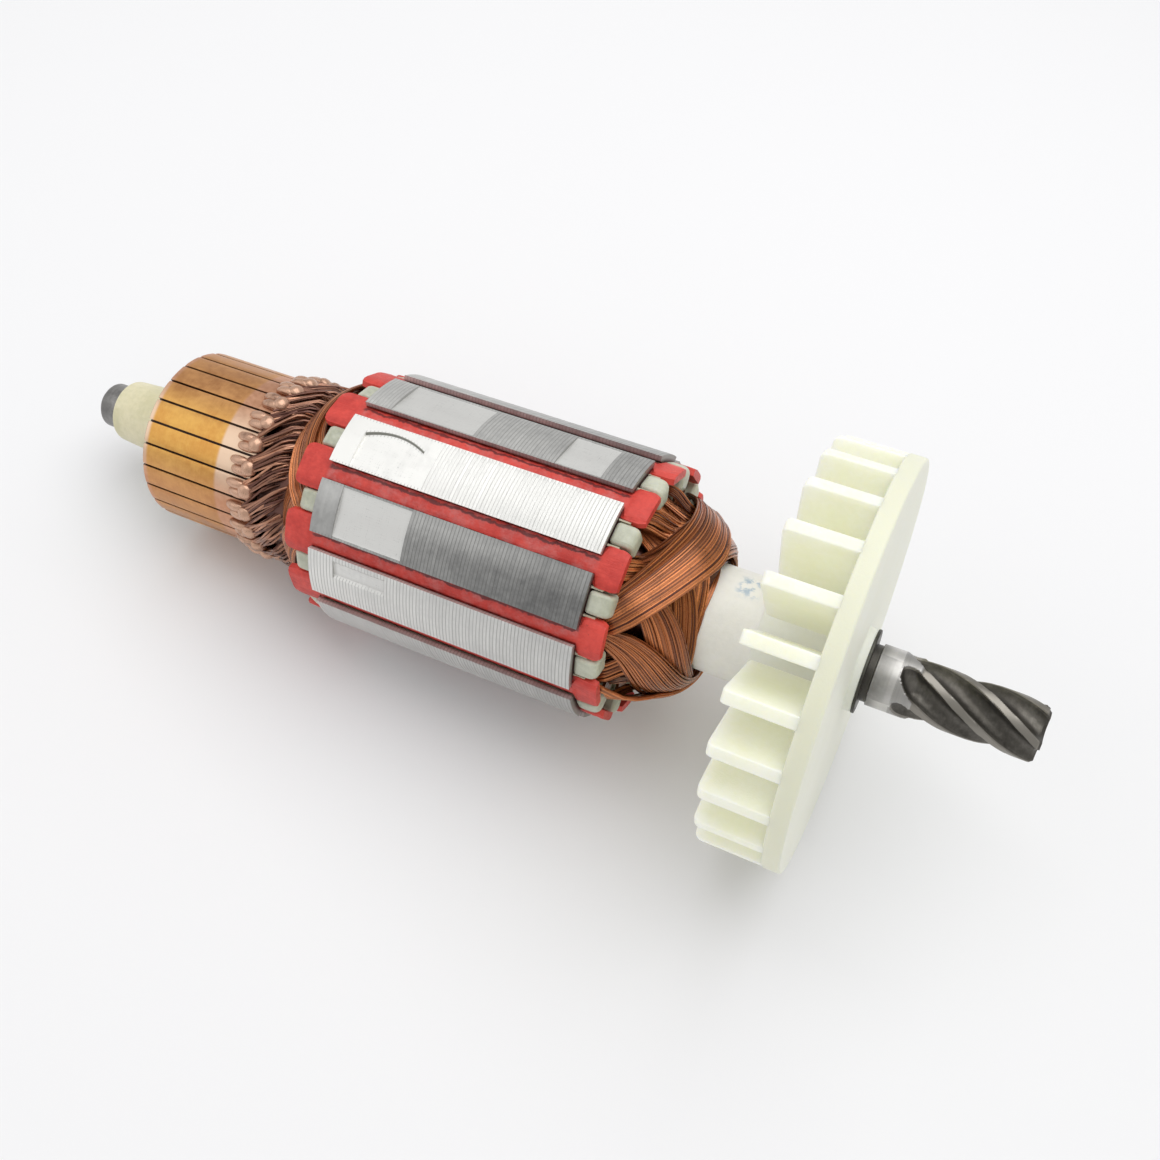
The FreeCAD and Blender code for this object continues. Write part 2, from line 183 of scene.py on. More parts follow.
@dataclass
class Draft:
    """Mesh being put together in shaft millimetres."""

    points: list[Vector] = field(default_factory=list)
    faces: list[tuple[int, ...]] = field(default_factory=list)
    strands: list[float] = field(default_factory=list)
    tone: float = 0.5

    def add(self, points: Sequence[Vector], faces: Iterable[Sequence[int]]) -> None:
        """Adds points and the faces between them.

        Args:
            points: New points.
            faces: Corner numbers of each face, counted from the first new point.
        """
        base = len(self.points)
        self.points.extend(points)
        self.strands.extend([self.tone] * len(points))
        self.faces.extend(tuple(base + i for i in face) for face in faces)

    def rings(self, rings: Sequence[Sequence[Vector]], looped: bool = False, capped: bool = True) -> None:
        """Skins a row of rings with the same number of points.

        Args:
            rings: Rings of points, in order.
            looped: True if the last ring joins the first.
            capped: True if open ends are closed with a face.
        """
        count = len(rings[0])
        faces: list[Sequence[int]] = []
        last = len(rings) if looped else len(rings) - 1
        for j in range(last):
            a = j * count
            b = ((j + 1) % len(rings)) * count
            for i in range(count):
                k = (i + 1) % count
                faces.append((a + i, a + k, b + k, b + i))
        if capped and not looped:
            faces.append(tuple(range(count - 1, -1, -1)))
            faces.append(tuple(range((len(rings) - 1) * count, len(rings) * count)))
        self.add([p for ring in rings for p in ring], faces)

    def lathe(self, profile: Sequence[Pair], segments: int = 96) -> None:
        """Turns a closed profile of (x, radius) about the shaft.

        Args:
            profile: Closed profile of (x, radius).
            segments: Segments round the shaft.
        """
        step = 360.0 / segments
        rings = [[polar(x, r, step * i) for i in range(segments)] for x, r in profile]
        self.rings(rings, looped=True)

    def prism(self, outline: Sequence[Pair], x0: float, x1: float, angle: float) -> None:
        """Axial bar from a (side, height) outline."""
        self.rings([[local(x, s, h, angle) for s, h in outline] for x in (x0, x1)])

    def plate(self, outline: Sequence[Pair], half: float, angle: float) -> None:
        """Flat piece from an (x, height) outline, centred on the radius at the angle."""
        self.rings([[local(x, s, h, angle) for x, h in outline] for s in (-half, half)])

    def wire(self, path: Sequence[Vector], radius: float, sides: int = 6) -> None:
        """Round wire along a path, with a frame that doesn't twist.

        Args:
            path: Points of the middle line.
            radius: Radius of the wire.
            sides: Sides of the section.
        """
        tangent = (path[1] - path[0]).normalized()
        normal = tangent.orthogonal().normalized()
        rings = []
        for i, point in enumerate(path):
            ahead = path[min(i + 1, len(path) - 1)] - path[max(i - 1, 0)]
            if ahead.length > LEAST_STEP:
                tangent = ahead.normalized()
            normal = (normal - tangent * normal.dot(tangent)).normalized()
            other = tangent.cross(normal)
            ring = []
            for k in range(sides):
                turn = 2.0 * math.pi * k / sides
                ring.append(point + (normal * math.cos(turn) + other * math.sin(turn)) * radius)
            rings.append(ring)
        self.rings(rings)


@dataclass
class Piece:
    """Builder of one sub-assembly, with the CAD nodes that it stands for."""

    shaft: ShaftFrame

    def build(
        self,
        name: str,
        draft: Draft,
        material: bpy.types.Material,
        slot: str,
        nodes: Sequence[str],
        bevel: float = 0.0,
        sharp: float = 35.0,
    ) -> bpy.types.Object:
        """Makes the object of a draft.

        Args:
            name: Name of the piece.
            draft: Points and faces in shaft millimetres.
            material: Material of the piece.
            slot: Material slot of the record; not used.
            nodes: CAD nodes that the piece replaces.
            bevel: Width of the rounded edges in millimetres.
            sharp: Angle above which an edge is shaded sharp.

        Returns:
            The object, placed in the row frame.
        """
        mesh = bpy.data.meshes.new(name)
        mesh.from_pydata([self.shaft.world(p) for p in draft.points], [], draft.faces)
        strand = mesh.attributes.new("strand", "FLOAT", "POINT")
        strand.data.foreach_set("value", draft.strands)
        work = bmesh.new()
        work.from_mesh(mesh)
        bmesh.ops.remove_doubles(work, verts=work.verts, dist=WELD)
        bmesh.ops.recalc_face_normals(work, faces=work.faces)
        work.to_mesh(mesh)
        work.free()
        mesh.shade_smooth()
        mesh.set_sharp_from_angle(angle=math.radians(sharp))
        mesh.materials.append(material)
        obj = bpy.data.objects.new(name, mesh)
        bpy.context.scene.collection.objects.link(obj)
        if bevel > 0.0:
            rounded = obj.modifiers.new("rounded", "BEVEL")
            rounded.width = bevel * MM
            rounded.segments = 3
            rounded.limit_method = "ANGLE"
            rounded.angle_limit = math.radians(sharp)
        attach(obj, "root")
        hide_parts(*nodes)
        log.info("%s: %d faces for %d nodes", name, len(mesh.polygons), len(nodes))
        return obj


def rounded_profile(corners: Sequence[Triple], steps: int = 4) -> list[Pair]:
    """Closed profile with rounded corners.

    Args:
        corners: Corners as (x, radius, rounding).
        steps: Segments on each rounding.

    Returns:
        Points of the profile.
    """
    most = 0.49
    out: list[Pair] = []
    count = len(corners)
    for i, (x, r, size) in enumerate(corners):
        here = Vector((x, r))
        if size <= 0.0:
            out.append((x, r))
            continue
        before = Vector(corners[i - 1][:2]) - here
        after = Vector(corners[(i + 1) % count][:2]) - here
        a = here + before.normalized() * min(size, most * before.length)
        b = here + after.normalized() * min(size, most * after.length)
        for k in range(steps + 1):
            t = k / steps
            point = a * (1 - t) ** 2 + here * 2 * t * (1 - t) + b * t * t
            out.append((point.x, point.y))
    return out


class Effect(Enum):
    """Names of the shared node groups."""

    PLACE = "shaft place"
    SHEETS = "sheet edges"
    BAND = "band mask"
    MOTTLE = "mottle"
    SCRATCH = "fine scratches"
    RINGS = "turning marks"
    WEAR_AND_HIGHLIGHT = "edge wear and highlight"


@dataclass
class NodeSheet:
    """Short way to lay out shader nodes in a tree."""

    tree: bpy.types.NodeTree

    def node(self, kind: str, **settings: object) -> bpy.types.Node:
        """New node with its settings.

        Args:
            kind: Kind of the node.
            settings: Attributes to set on it.

        Returns:
            The node.
        """
        made = self.tree.nodes.new(kind)
        for key, value in settings.items():
            setattr(made, key, value)
        return made

    def feed(self, socket: Socket, value: object) -> None:
        """Links a socket, or sets the constant of an input.

        Args:
            socket: Input that takes the value.
            value: Socket to link, or constant to set.
        """
        if isinstance(value, Socket):
            self.tree.links.new(value, socket)
        elif isinstance(value, tuple) and len(value) == 3 and socket.type == "RGBA":
            socket.default_value = (*value, 1.0)
        else:
            socket.default_value = value

    def math(self, operation: str, a: object, b: object = 0.0, clamp: bool = False) -> Socket:
        """Result of a math node.

        Args:
            operation: Name of the operation.
            a: First value.
            b: Second value.
            clamp: True if the result is kept within 0 and 1.

        Returns:
            Its output.
        """
        made = self.node("ShaderNodeMath", operation=operation, use_clamp=clamp)
        self.feed(made.inputs[0], a)
        self.feed(made.inputs[1], b)
        return made.outputs[0]

    def times(self, a: object, b: object) -> Socket:
        """Product of two values."""
        return self.math("MULTIPLY", a, b)

    def plus(self, a: object, b: object) -> Socket:
        """Sum of two values."""
        return self.math("ADD", a, b)

    def less(self, a: object, b: object) -> Socket:
        """First value less the second."""
        return self.math("SUBTRACT", a, b)

    def mix(self, factor: object, a: object, b: object) -> Socket:
        """Colour between a and b.

        Args:
            factor: Share of the second colour.
            a: First colour.
            b: Second colour.

        Returns:
            The mixed colour.
        """
        made = self.node("ShaderNodeMix", data_type="RGBA")
        self.feed(made.inputs[0], factor)
        self.feed(made.inputs[6], a)
        self.feed(made.inputs[7], b)
        return made.outputs[2]

    def noise(self, vector: object, scale: float, detail: float = 4.0, rough: float = 0.55) -> Socket:
        """Noise value at a vector.

        Args:
            vector: Vector at which it is taken.
            scale: Scale of the pattern.
            detail: Number of finer steps.
            rough: Strength of the finer steps.

        Returns:
            The value of the noise.
        """
        made = self.node("ShaderNodeTexNoise")
        self.feed(made.inputs["Vector"], vector)
        made.inputs["Scale"].default_value = scale
        made.inputs["Detail"].default_value = detail
        made.inputs["Roughness"].default_value = rough
        return made.outputs["Fac"]

    def span(self, value: object, low: object, high: object) -> Socket:
        """Value mapped from low..high to 0..1 and kept there.

        Args:
            value: Value to map.
            low: Value that becomes 0.
            high: Value that becomes 1.

        Returns:
            The mapped value.
        """
        made = self.node("ShaderNodeMapRange", interpolation_type="SMOOTHSTEP")
        self.feed(made.inputs["Value"], value)
        self.feed(made.inputs["From Min"], low)
        self.feed(made.inputs["From Max"], high)
        return made.outputs["Result"]

    def stretch(self, vector: object, scale: Triple) -> Socket:
        """Vector scaled along each axis.

        Args:
            vector: Vector to scale.
            scale: Scale along each axis.

        Returns:
            The scaled vector.
        """
        made = self.node("ShaderNodeVectorMath", operation="MULTIPLY")
        self.feed(made.inputs[0], vector)
        made.inputs[1].default_value = scale
        return made.outputs[0]

    def join(self, *parts: object) -> Socket:
        """Vector put together from its parts.

        Args:
            parts: Values of the axes, in order.

        Returns:
            The vector.
        """
        made = self.node("ShaderNodeCombineXYZ")
        for i, part in enumerate(parts):
            self.feed(made.inputs[i], part)
        return made.outputs[0]

    def strand(self) -> Socket:
        """Tone kept at each point of the mesh."""
        return self.node("ShaderNodeAttribute", attribute_name="strand").outputs["Fac"]

    def group(self, effect: Effect, **inputs: object) -> Place:
        """Places a shared effect and returns its outputs by name.

        Args:
            effect: Name of the group.
            inputs: Values or sockets by input name.

        Returns:
            Outputs of the group by name.
        """
        made = self.node("ShaderNodeGroup", node_tree=bpy.data.node_groups[effect.value])
        for key, value in inputs.items():
            self.feed(made.inputs[key], value)
        return {out.name: out for out in made.outputs}

    def band(self, value: object, limits: Pair, soft: float) -> Socket:
        """Mask of the shared band between two limits."""
        return self.group(Effect.BAND, Value=value, Start=limits[0], End=limits[1], Soft=soft)["Mask"]

    def mottle(self, place: Place, tones: Tones) -> Place:
        """Shared uneven colour between two tones."""
        return self.group(Effect.MOTTLE, Point=place["Point"], Dark=tones[0], Light=tones[1])

    def wear_and_highlight(self, low: float, high: float) -> Socket:
        """Mask of the shared edge wear and painted highlight on raised edges."""
        return self.group(Effect.WEAR_AND_HIGHLIGHT, Low=low, High=high)["Mask"]


@dataclass
class EffectLibrary:
    """Makes the node groups shared by the finishes."""

    shaft: ShaftFrame
    source: object = None
    target: object = None

    def begin(
        self, effect: Effect, inputs: dict[str, tuple[str, object]], outputs: dict[str, str]
    ) -> NodeSheet:
        """Starts a group with named sockets.

        Args:
            effect: Name of the group.
            inputs: Socket kind and default value by name.
            outputs: Socket kind by name.

        Returns:
            Sheet of the new tree.
        """
        tree = bpy.data.node_groups.new(effect.value, "ShaderNodeTree")
        for name, (kind, value) in inputs.items():
            made = tree.interface.new_socket(name, in_out="INPUT", socket_type="NodeSocket" + kind)
            if value is not None:
                made.default_value = value
        for name, kind in outputs.items():
            tree.interface.new_socket(name, in_out="OUTPUT", socket_type="NodeSocket" + kind)
        sheet = NodeSheet(tree)
        self.source = sheet.node("NodeGroupInput").outputs
        self.target = sheet.node("NodeGroupOutput").inputs
        return sheet

    def build(self) -> None:
        """Makes every group."""
        self.place()
        self.sheets()
        self.band()
        self.mottle()
        self.scratch()
        self.rings()
        self.wear_and_highlight()

    def place(self) -> None:
        """Shaft coordinates in millimetres from the object's own coordinates."""
        outputs = {"Axial": "Float", "Radius": "Float", "Angle": "Float", "Point": "Vector"}
        sheet = self.begin(Effect.PLACE, {}, outputs)
        shift = sheet.node("ShaderNodeVectorMath", operation="SUBTRACT")
        sheet.feed(shift.inputs[0], sheet.node("ShaderNodeTexCoord").outputs["Object"])
        shift.inputs[1].default_value = self.shaft.origin
        scale = sheet.node("ShaderNodeVectorMath", operation="SCALE")
        sheet.feed(scale.inputs[0], shift.outputs[0])
        scale.inputs["Scale"].default_value = 1.0 / MM
        parts = []
        for axis in (self.shaft.along, ACROSS, self.shaft.up):
            dot = sheet.node("ShaderNodeVectorMath", operation="DOT_PRODUCT")
            sheet.feed(dot.inputs[0], scale.outputs[0])
            dot.inputs[1].default_value = axis
            parts.append(dot.outputs["Value"])
        squares = sheet.plus(sheet.times(parts[1], parts[1]), sheet.times(parts[2], parts[2]))
        turn = sheet.math("ARCTAN2", parts[2], parts[1])
        sheet.feed(self.target["Axial"], parts[0])
        sheet.feed(self.target["Radius"], sheet.math("SQRT", squares))
        sheet.feed(self.target["Angle"], sheet.math("DEGREES", turn))
        sheet.feed(self.target["Point"], sheet.join(*parts))

    def sheets(self) -> None:
        """Edges of stacked sheets along the shaft, each with its own tone."""
        inputs = {"Axial": ("Float", 0.0), "Angle": ("Float", 0.0), "Pitch": ("Float", SHEET_PITCH)}
        sheet = self.begin(Effect.SHEETS, inputs, {"Edge": "Float", "Tone": "Float"})
        count = sheet.math("DIVIDE", self.source["Axial"], self.source["Pitch"])
        away = sheet.math("ABSOLUTE", sheet.less(sheet.math("FRACT", count), 0.5))
        seat = sheet.join(sheet.math("FLOOR", count), sheet.times(self.source["Angle"], 0.02))
        sheet.feed(self.target["Edge"], sheet.span(away, 0.28, 0.5))
        sheet.feed(self.target["Tone"], sheet.noise(seat, 1.7, 2.0))

    def band(self) -> None:
        """Mask that is 1 between two values, with soft ends."""
        inputs = {name: ("Float", 0.0) for name in ("Value", "Start", "End", "Soft")}
        sheet = self.begin(Effect.BAND, inputs, {"Mask": "Float"})
        value, start, end, soft = (self.source[name] for name in inputs)
        rise = sheet.span(value, sheet.less(start, soft), sheet.plus(start, soft))
        fall = sheet.span(value, sheet.less(end, soft), sheet.plus(end, soft))
        sheet.feed(self.target["Mask"], sheet.math("SUBTRACT", rise, fall, clamp=True))

    def mottle(self) -> None:
        """Soft uneven colour between two tones."""
        inputs = {"Point": ("Vector", None), "Dark": ("Color", None), "Light": ("Color", None)}
        sheet = self.begin(Effect.MOTTLE, inputs, {"Colour": "Color", "Mask": "Float"})
        broad = sheet.noise(self.source["Point"], 0.16, 5.0, 0.6)
        fine = sheet.noise(self.source["Point"], 1.3, 4.0, 0.6)
        both = sheet.plus(sheet.times(broad, 0.65), sheet.times(fine, 0.35))
        mask = sheet.span(both, 0.32, 0.68)
        sheet.feed(self.target["Mask"], mask)
        sheet.feed(self.target["Colour"], sheet.mix(mask, self.source["Dark"], self.source["Light"]))

    def scratch(self) -> None:
        """Fine marks drawn out along one direction."""
        sheet = self.begin(Effect.SCRATCH, {"Point": ("Vector", None)}, {"Height": "Float", "Mask": "Float"})
        along = sheet.noise(sheet.stretch(self.source["Point"], (0.5, 9.0, 9.0)), 1.0, 3.0, 0.7)
        across = sheet.noise(sheet.stretch(self.source["Point"], (11.0, 0.6, 0.6)), 1.0, 3.0, 0.7)
        sheet.feed(self.target["Height"], sheet.plus(along, across))
        sheet.feed(self.target["Mask"], sheet.span(sheet.times(along, across), 0.3, 0.42))

    def rings(self) -> None:
        """Marks left round a turned surface."""
        inputs = {"Axial": ("Float", 0.0), "Radius": ("Float", 0.0)}
        sheet = self.begin(Effect.RINGS, inputs, {"Height": "Float", "Tone": "Float"})
        seat = sheet.join(self.source["Axial"], self.source["Radius"])
        sheet.feed(self.target["Height"], sheet.noise(seat, 7.0, 4.0, 0.7))
        sheet.feed(self.target["Tone"], sheet.noise(seat, 1.1, 3.0, 0.6))

    def wear_and_highlight(self) -> None:
        """Mask of raised edges, for edge wear and painted highlight."""
        sheet = self.begin(Effect.WEAR_AND_HIGHLIGHT, {"Low": ("Float", 0.5), "High": ("Float", 0.6)}, {"Mask": "Float"})
        bumpy = sheet.node("ShaderNodeNewGeometry").outputs["Pointiness"]
        sheet.feed(self.target["Mask"], sheet.span(bumpy, self.source["Low"], self.source["High"]))


@dataclass
class Surface:
    """Values that a finish hands to its shader."""

    colour: object
    roughness: object = 0.5
    metallic: object = 0.0
    height: object = None
    bump_mm: float = 0.02


@dataclass(frozen=True)
class Finish:
    """Base of the finishes: a procedural look on one shader."""

    name: str

    def surface(self, sheet: NodeSheet, place: Place) -> Surface:
        """Values of the finish."""
        raise NotImplementedError

    def extras(self, shader: bpy.types.Node) -> None:
        """Settings on the shader beyond the common ones."""

    def build(self) -> bpy.types.Material:
        """Makes the material.

        Returns:
            The material.
        """
        material = bpy.data.materials.new(self.name)
        material.use_nodes = True
        tree = material.node_tree
        shader = tree.nodes["Principled BSDF"]
        sheet = NodeSheet(tree)
        look = self.surface(sheet, sheet.group(Effect.PLACE))
        sheet.feed(shader.inputs["Base Color"], look.colour)
        sheet.feed(shader.inputs["Roughness"], look.roughness)
        sheet.feed(shader.inputs["Metallic"], look.metallic)
        if look.height is not None:
            bump = sheet.node("ShaderNodeBump")
            bump.inputs["Strength"].default_value = 1.0
            bump.inputs["Distance"].default_value = look.bump_mm * MM
            sheet.feed(bump.inputs["Height"], look.height)
            sheet.feed(shader.inputs["Normal"], bump.outputs["Normal"])
        self.extras(shader)
        return material


@dataclass(frozen=True)
class TurnedSteel(Finish):
    """Ground or turned steel with ring marks, light stains, bright lands and painted shade in the groove by
    the front journal.
    """

    dark: Colour = (0.2, 0.195, 0.19)
    light: Colour = (0.45, 0.44, 0.425)
    rough: float = 0.3
    land_r: float = 100.0
    ground_r: float = 100.0
    ground_tones: Tones = ((0.45, 0.44, 0.425), (0.3, 0.29, 0.28))
    # Painted shade: dark band over the groove between the washer and the front journal.
    groove_shade_along: Pair = (73.0, 73.95)
    groove_shade: Colour = (0.05, 0.045, 0.035)
    brighter: float = 1.7

    def surface(self, sheet: NodeSheet, place: Place) -> Surface:
        """Rings, mottled colour, brighter edges and painted shade in the groove.

        Args:
            sheet: Sheet of the material's tree.
            place: Outputs of the shared place effect.

        Returns:
            Values for the shader.
        """
        rings = sheet.group(Effect.RINGS, Axial=place["Axial"], Radius=place["Radius"])
        mottle = sheet.mottle(place, (self.dark, self.light))
        land = sheet.span(place["Radius"], self.land_r - 0.12, self.land_r)
        bright = tuple(min(1.0, c * self.brighter) for c in self.light)
        raised = sheet.math("MAXIMUM", sheet.times(sheet.wear_and_highlight(0.53, 0.62), 0.7), land)
        streak = sheet.times(sheet.span(rings["Tone"], 0.35, 0.65), 0.5)
        colour = sheet.mix(streak, mottle["Colour"], self.dark)
        colour = sheet.mix(raised, colour, bright)
        # Painted shade darkens the groove band.
        groove_shaded = sheet.times(sheet.band(place["Axial"], self.groove_shade_along, 0.08), 0.85)
        colour = sheet.mix(groove_shaded, colour, self.groove_shade)
        ground = sheet.span(place["Radius"], self.ground_r - 0.05, self.ground_r + 0.03)
        colour = sheet.mix(ground, colour, sheet.mix(streak, *self.ground_tones))
        rough = sheet.plus(self.rough, sheet.times(rings["Tone"], 0.18))
        return Surface(colour, rough, 0.9, rings["Height"], 0.012)


@dataclass(frozen=True)
class BarCopper(Finish):
    """Commutator copper with a burnished track under the brushes."""

    track_along: Pair = (-32.9, -20.6)
    # Painted highlight: angle range on the side of the bars that faces the lamps.
    highlight_turn: Pair = (106.0, 150.0)
    new: Tones = ((0.52, 0.24, 0.13), (0.72, 0.4, 0.25))
    # Pale painted highlight on the new copper.
    pale_highlight: Colour = (0.95, 0.74, 0.55)
    brown: Tones = ((0.46, 0.19, 0.07), (0.66, 0.33, 0.13))
    # Golden burnished copper, shown only inside the painted highlight band.
    burnish_and_highlight: Tones = ((0.66, 0.3, 0.06), (0.86, 0.5, 0.12))
    shine: Colour = (0.8, 0.5, 0.2)
    # Painted shade for the bar sides in the gaps and for the front rim.
    rim_shade: Colour = (0.06, 0.02, 0.01)

    def surface(self, sheet: NodeSheet, place: Place) -> Surface:
        """New copper with a pale painted highlight, a brush track that is brown with a golden painted
        highlight on the side towards the lamps, and painted shade on the front rim and in the gaps.

        Args:
            sheet: Sheet of the material's tree.
            place: Outputs of the shared place effect.

        Returns:
            Values for the shader.
        """
        track = sheet.band(place["Axial"], self.track_along, 0.3)
        # Painted highlight band on the side of the bars that faces the lamps.
        highlight_band = sheet.band(place["Angle"], self.highlight_turn, 16.0)
        new = sheet.mottle(place, self.new)
        pale_highlight = sheet.mix(sheet.times(highlight_band, 0.75), new["Colour"], self.pale_highlight)
        rings = sheet.group(Effect.RINGS, Axial=place["Axial"], Radius=place["Radius"])
        streak = sheet.times(sheet.span(rings["Height"], 0.35, 0.75), 0.3)
        brown = sheet.mottle(place, self.brown)["Colour"]
        # On the brush track the painted highlight turns brown copper to gold.
        burnish_and_highlight = sheet.mix(highlight_band, brown, sheet.mottle(place, self.burnish_and_highlight)["Colour"])
        top = sheet.mix(track, pale_highlight, sheet.mix(streak, burnish_and_highlight, self.shine))
        # Painted shade on the bar sides in the gaps and on the front rim.
        depth = sheet.span(place["Radius"], BAR_R - 0.5, BAR_R - 0.06)
        rim = sheet.span(place["Axial"], BAR_START_X + 0.1, BAR_START_X + 0.2)
        colour = sheet.mix(sheet.times(depth, rim), self.rim_shade, top)
        rough = sheet.plus(0.28, sheet.times(new["Mask"], 0.2))
        return Surface(colour, rough, 0.75, rings["Height"], 0.02)


@dataclass(frozen=True)
class ToothLight:
    """Painted light and shade of one tooth, by how it faces the lamps."""

    angle: float
    tone: float


@dataclass(frozen=True)
class CoreSteel(Finish):
    """Stacked sheets with bright milled pockets."""

    base_light: float = 0.5
    # Painted light and shade on each tooth, by how it faces the lamps.
    teeth: tuple[ToothLight, ...] = (
        ToothLight(75.0, 0.42),
        ToothLight(105.0, 0.95),
        ToothLight(135.0, 0.17),
        ToothLight(165.0, 0.66),
        ToothLight(-165.0, 0.5),
        ToothLight(45.0, 0.42),
    )
    tones: Tones = ((0.15, 0.15, 0.148), (0.92, 0.915, 0.885))
    line: Colour = (0.12, 0.115, 0.105)
    scratched: Colour = (0.25, 0.25, 0.24)
    # Painted shade: dark crescent on the wall of the bowed flat.
    wall: Colour = (0.28, 0.28, 0.25)
    varnish: Colour = (0.07, 0.02, 0.02)
    # Painted reflection: angle range where the upper part of one tooth is lighter.
    reflection_turn: Pair = (123.0, 132.0)
    lean: float = -0.006

    def tone(self, sheet: NodeSheet, place: Place) -> object:
        """Painted light and shade summed over the teeth, by how each faces the lamps.

        Args:
            sheet: Sheet of the material's tree.
            place: Outputs of the shared place effect.

        Returns:
            The tone, 0 dark and 1 bright.
        """
        tone: object = self.base_light
        half = 0.5 * SLOT_PITCH
        for tooth in self.teeth:
            band = sheet.band(place["Angle"], (tooth.angle - half, tooth.angle + half), 1.0)
            tone = sheet.plus(tone, sheet.times(band, tooth.tone - self.base_light))
        return tone

    def shade(self, sheet: NodeSheet, place: Place, sheets: Place, mottle: Place) -> Socket:
        """Brightness from painted light and shade on each tooth, a painted reflection on one tooth, the place
        along the stack, stains and single sheets.

        Args:
            sheet: Sheet of the material's tree.
            place: Outputs of the shared place effect.
            sheets: Outputs of the sheet effect.
            mottle: Outputs of the mottle effect.

        Returns:
            The brightness, 0 dark and 1 bright.
        """
        lean = sheet.times(sheet.less(place["Axial"], 0.5 * CORE_L), self.lean)
        # Painted light and shade by tooth.
        shade = sheet.plus(self.tone(sheet, place), lean)
        # Painted reflection lightens the upper part of one tooth.
        shade = sheet.plus(shade, sheet.times(sheet.band(place["Angle"], self.reflection_turn, 5.0), 0.16))
        shade = sheet.plus(shade, sheet.times(sheet.less(mottle["Mask"], 0.5), 0.16))
        spread = sheet.times(sheet.less(sheets["Tone"], 0.5), 0.2)
        return sheet.math("ADD", shade, spread, clamp=True)

    def surface(self, sheet: NodeSheet, place: Place) -> Surface:
        """Sheet edges, painted light and shade by tooth, a painted dark crescent on a pocket wall and
        scratched flats.

        Args:
            sheet: Sheet of the material's tree.
            place: Outputs of the shared place effect.

        Returns:
            Values for the shader.
        """
        sheets = sheet.group(Effect.SHEETS, Axial=place["Axial"], Angle=place["Angle"], Pitch=SHEET_PITCH)
        scratch = sheet.group(Effect.SCRATCH, Point=place["Point"])
        mottle = sheet.mottle(place, ((0.0, 0.0, 0.0), (1.0, 1.0, 1.0)))
        shade = self.shade(sheet, place, sheets, mottle)
        plain = sheet.mix(shade, *self.tones)
        depth = sheet.plus(0.2, sheet.times(mottle["Mask"], 0.3))
        laminated = sheet.mix(sheet.times(sheets["Edge"], depth), plain, self.line)
        bright = sheet.mix(sheet.math("MAXIMUM", shade, 0.7), *self.tones)
        milled = sheet.mix(sheet.times(scratch["Mask"], 0.4), bright, self.scratched)
        kind = sheet.strand()
        colour = sheet.mix(sheet.span(kind, 0.83, 0.88), laminated, plain)
        colour = sheet.mix(sheet.span(kind, 0.93, 0.98), colour, milled)
        # Painted shade on the wall of the bowed flat.
        colour = sheet.mix(sheet.span(kind, -0.3, -0.95), colour, self.wall)
        colour = sheet.mix(sheet.span(place["Radius"], 18.6, 18.0), colour, self.varnish)
        rough = sheet.plus(0.36, sheet.times(mottle["Mask"], 0.12))
        return Surface(colour, rough, 0.55, scratch["Height"], 0.008)


@dataclass(frozen=True)
class Plastic(Finish):
    """Moulded plastic with a soft uneven tone."""

    dark: Colour = (0.7, 0.7, 0.6)
    light: Colour = (0.85, 0.85, 0.78)
    rough: float = 0.45
    glow: float = 0.0
    glow_mm: float = 1.0
    # Painted glow: emission strength in the plastic's light tone.
    painted_glow: float = 0.0
    glow_reach: Triple = (1.0, 0.9, 0.6)
    # Lighter raised edges by this factor: painted highlight on plastic, edge wear on steel.
    brighter: float = 1.12

    def surface(self, sheet: NodeSheet, place: Place) -> Surface:
        """Mottled colour with a painted highlight on raised edges and a fine grain.

        Args:
            sheet: Sheet of the material's tree.
            place: Outputs of the shared place effect.

        Returns:
            Values for the shader.
        """
        mottle = sheet.mottle(place, (self.dark, self.light))
        edge = tuple(min(1.0, c * self.brighter) for c in self.light)
        # Painted highlight: raised edges lighter.
        colour = sheet.mix(sheet.times(sheet.wear_and_highlight(0.52, 0.6), 0.6), mottle["Colour"], edge)
        rough = sheet.plus(self.rough, sheet.times(mottle["Mask"], 0.12))
        grain = sheet.noise(place["Point"], 3.5, 5.0, 0.6)
        return Surface(colour, rough, 0.0, grain, 0.03)

    def extras(self, shader: bpy.types.Node) -> None:
        """Light that travels inside the plastic, and a painted glow from emission in its light tone.

        Args:
            shader: Shader that takes the values.
        """
        shader.inputs["Subsurface Weight"].default_value = self.glow
        shader.inputs["Subsurface Radius"].default_value = self.glow_reach
        shader.inputs["Subsurface Scale"].default_value = self.glow_mm * MM
        # Painted glow: the plastic emits its light tone.
        shader.inputs["Emission Color"].default_value = (*self.light, 1.0)
        shader.inputs["Emission Strength"].default_value = self.painted_glow


@dataclass(frozen=True)
class StainedPlastic(Plastic):
    """Plastic with a faint smudge of ink on one side."""

    stain: Colour = (0.16, 0.33, 0.5)
    along: Pair = (54.6, 57.4)
    turn: Pair = (66.0, 92.0)

    def surface(self, sheet: NodeSheet, place: Place) -> Surface:
        """Plastic under a broken patch of colour.

        Args:
            sheet: Sheet of the material's tree.
            place: Outputs of the shared place effect.

        Returns:
            Values for the shader.
        """
        look = super().surface(sheet, place)
        along = sheet.band(place["Axial"], self.along, 0.7)
        turn = sheet.band(place["Angle"], self.turn, 6.0)
        broken = sheet.span(sheet.noise(place["Point"], 0.9, 4.0, 0.6), 0.42, 0.6)
        mask = sheet.times(sheet.times(along, turn), broken)
        look.colour = sheet.mix(sheet.times(mask, 0.6), look.colour, self.stain)
        return look


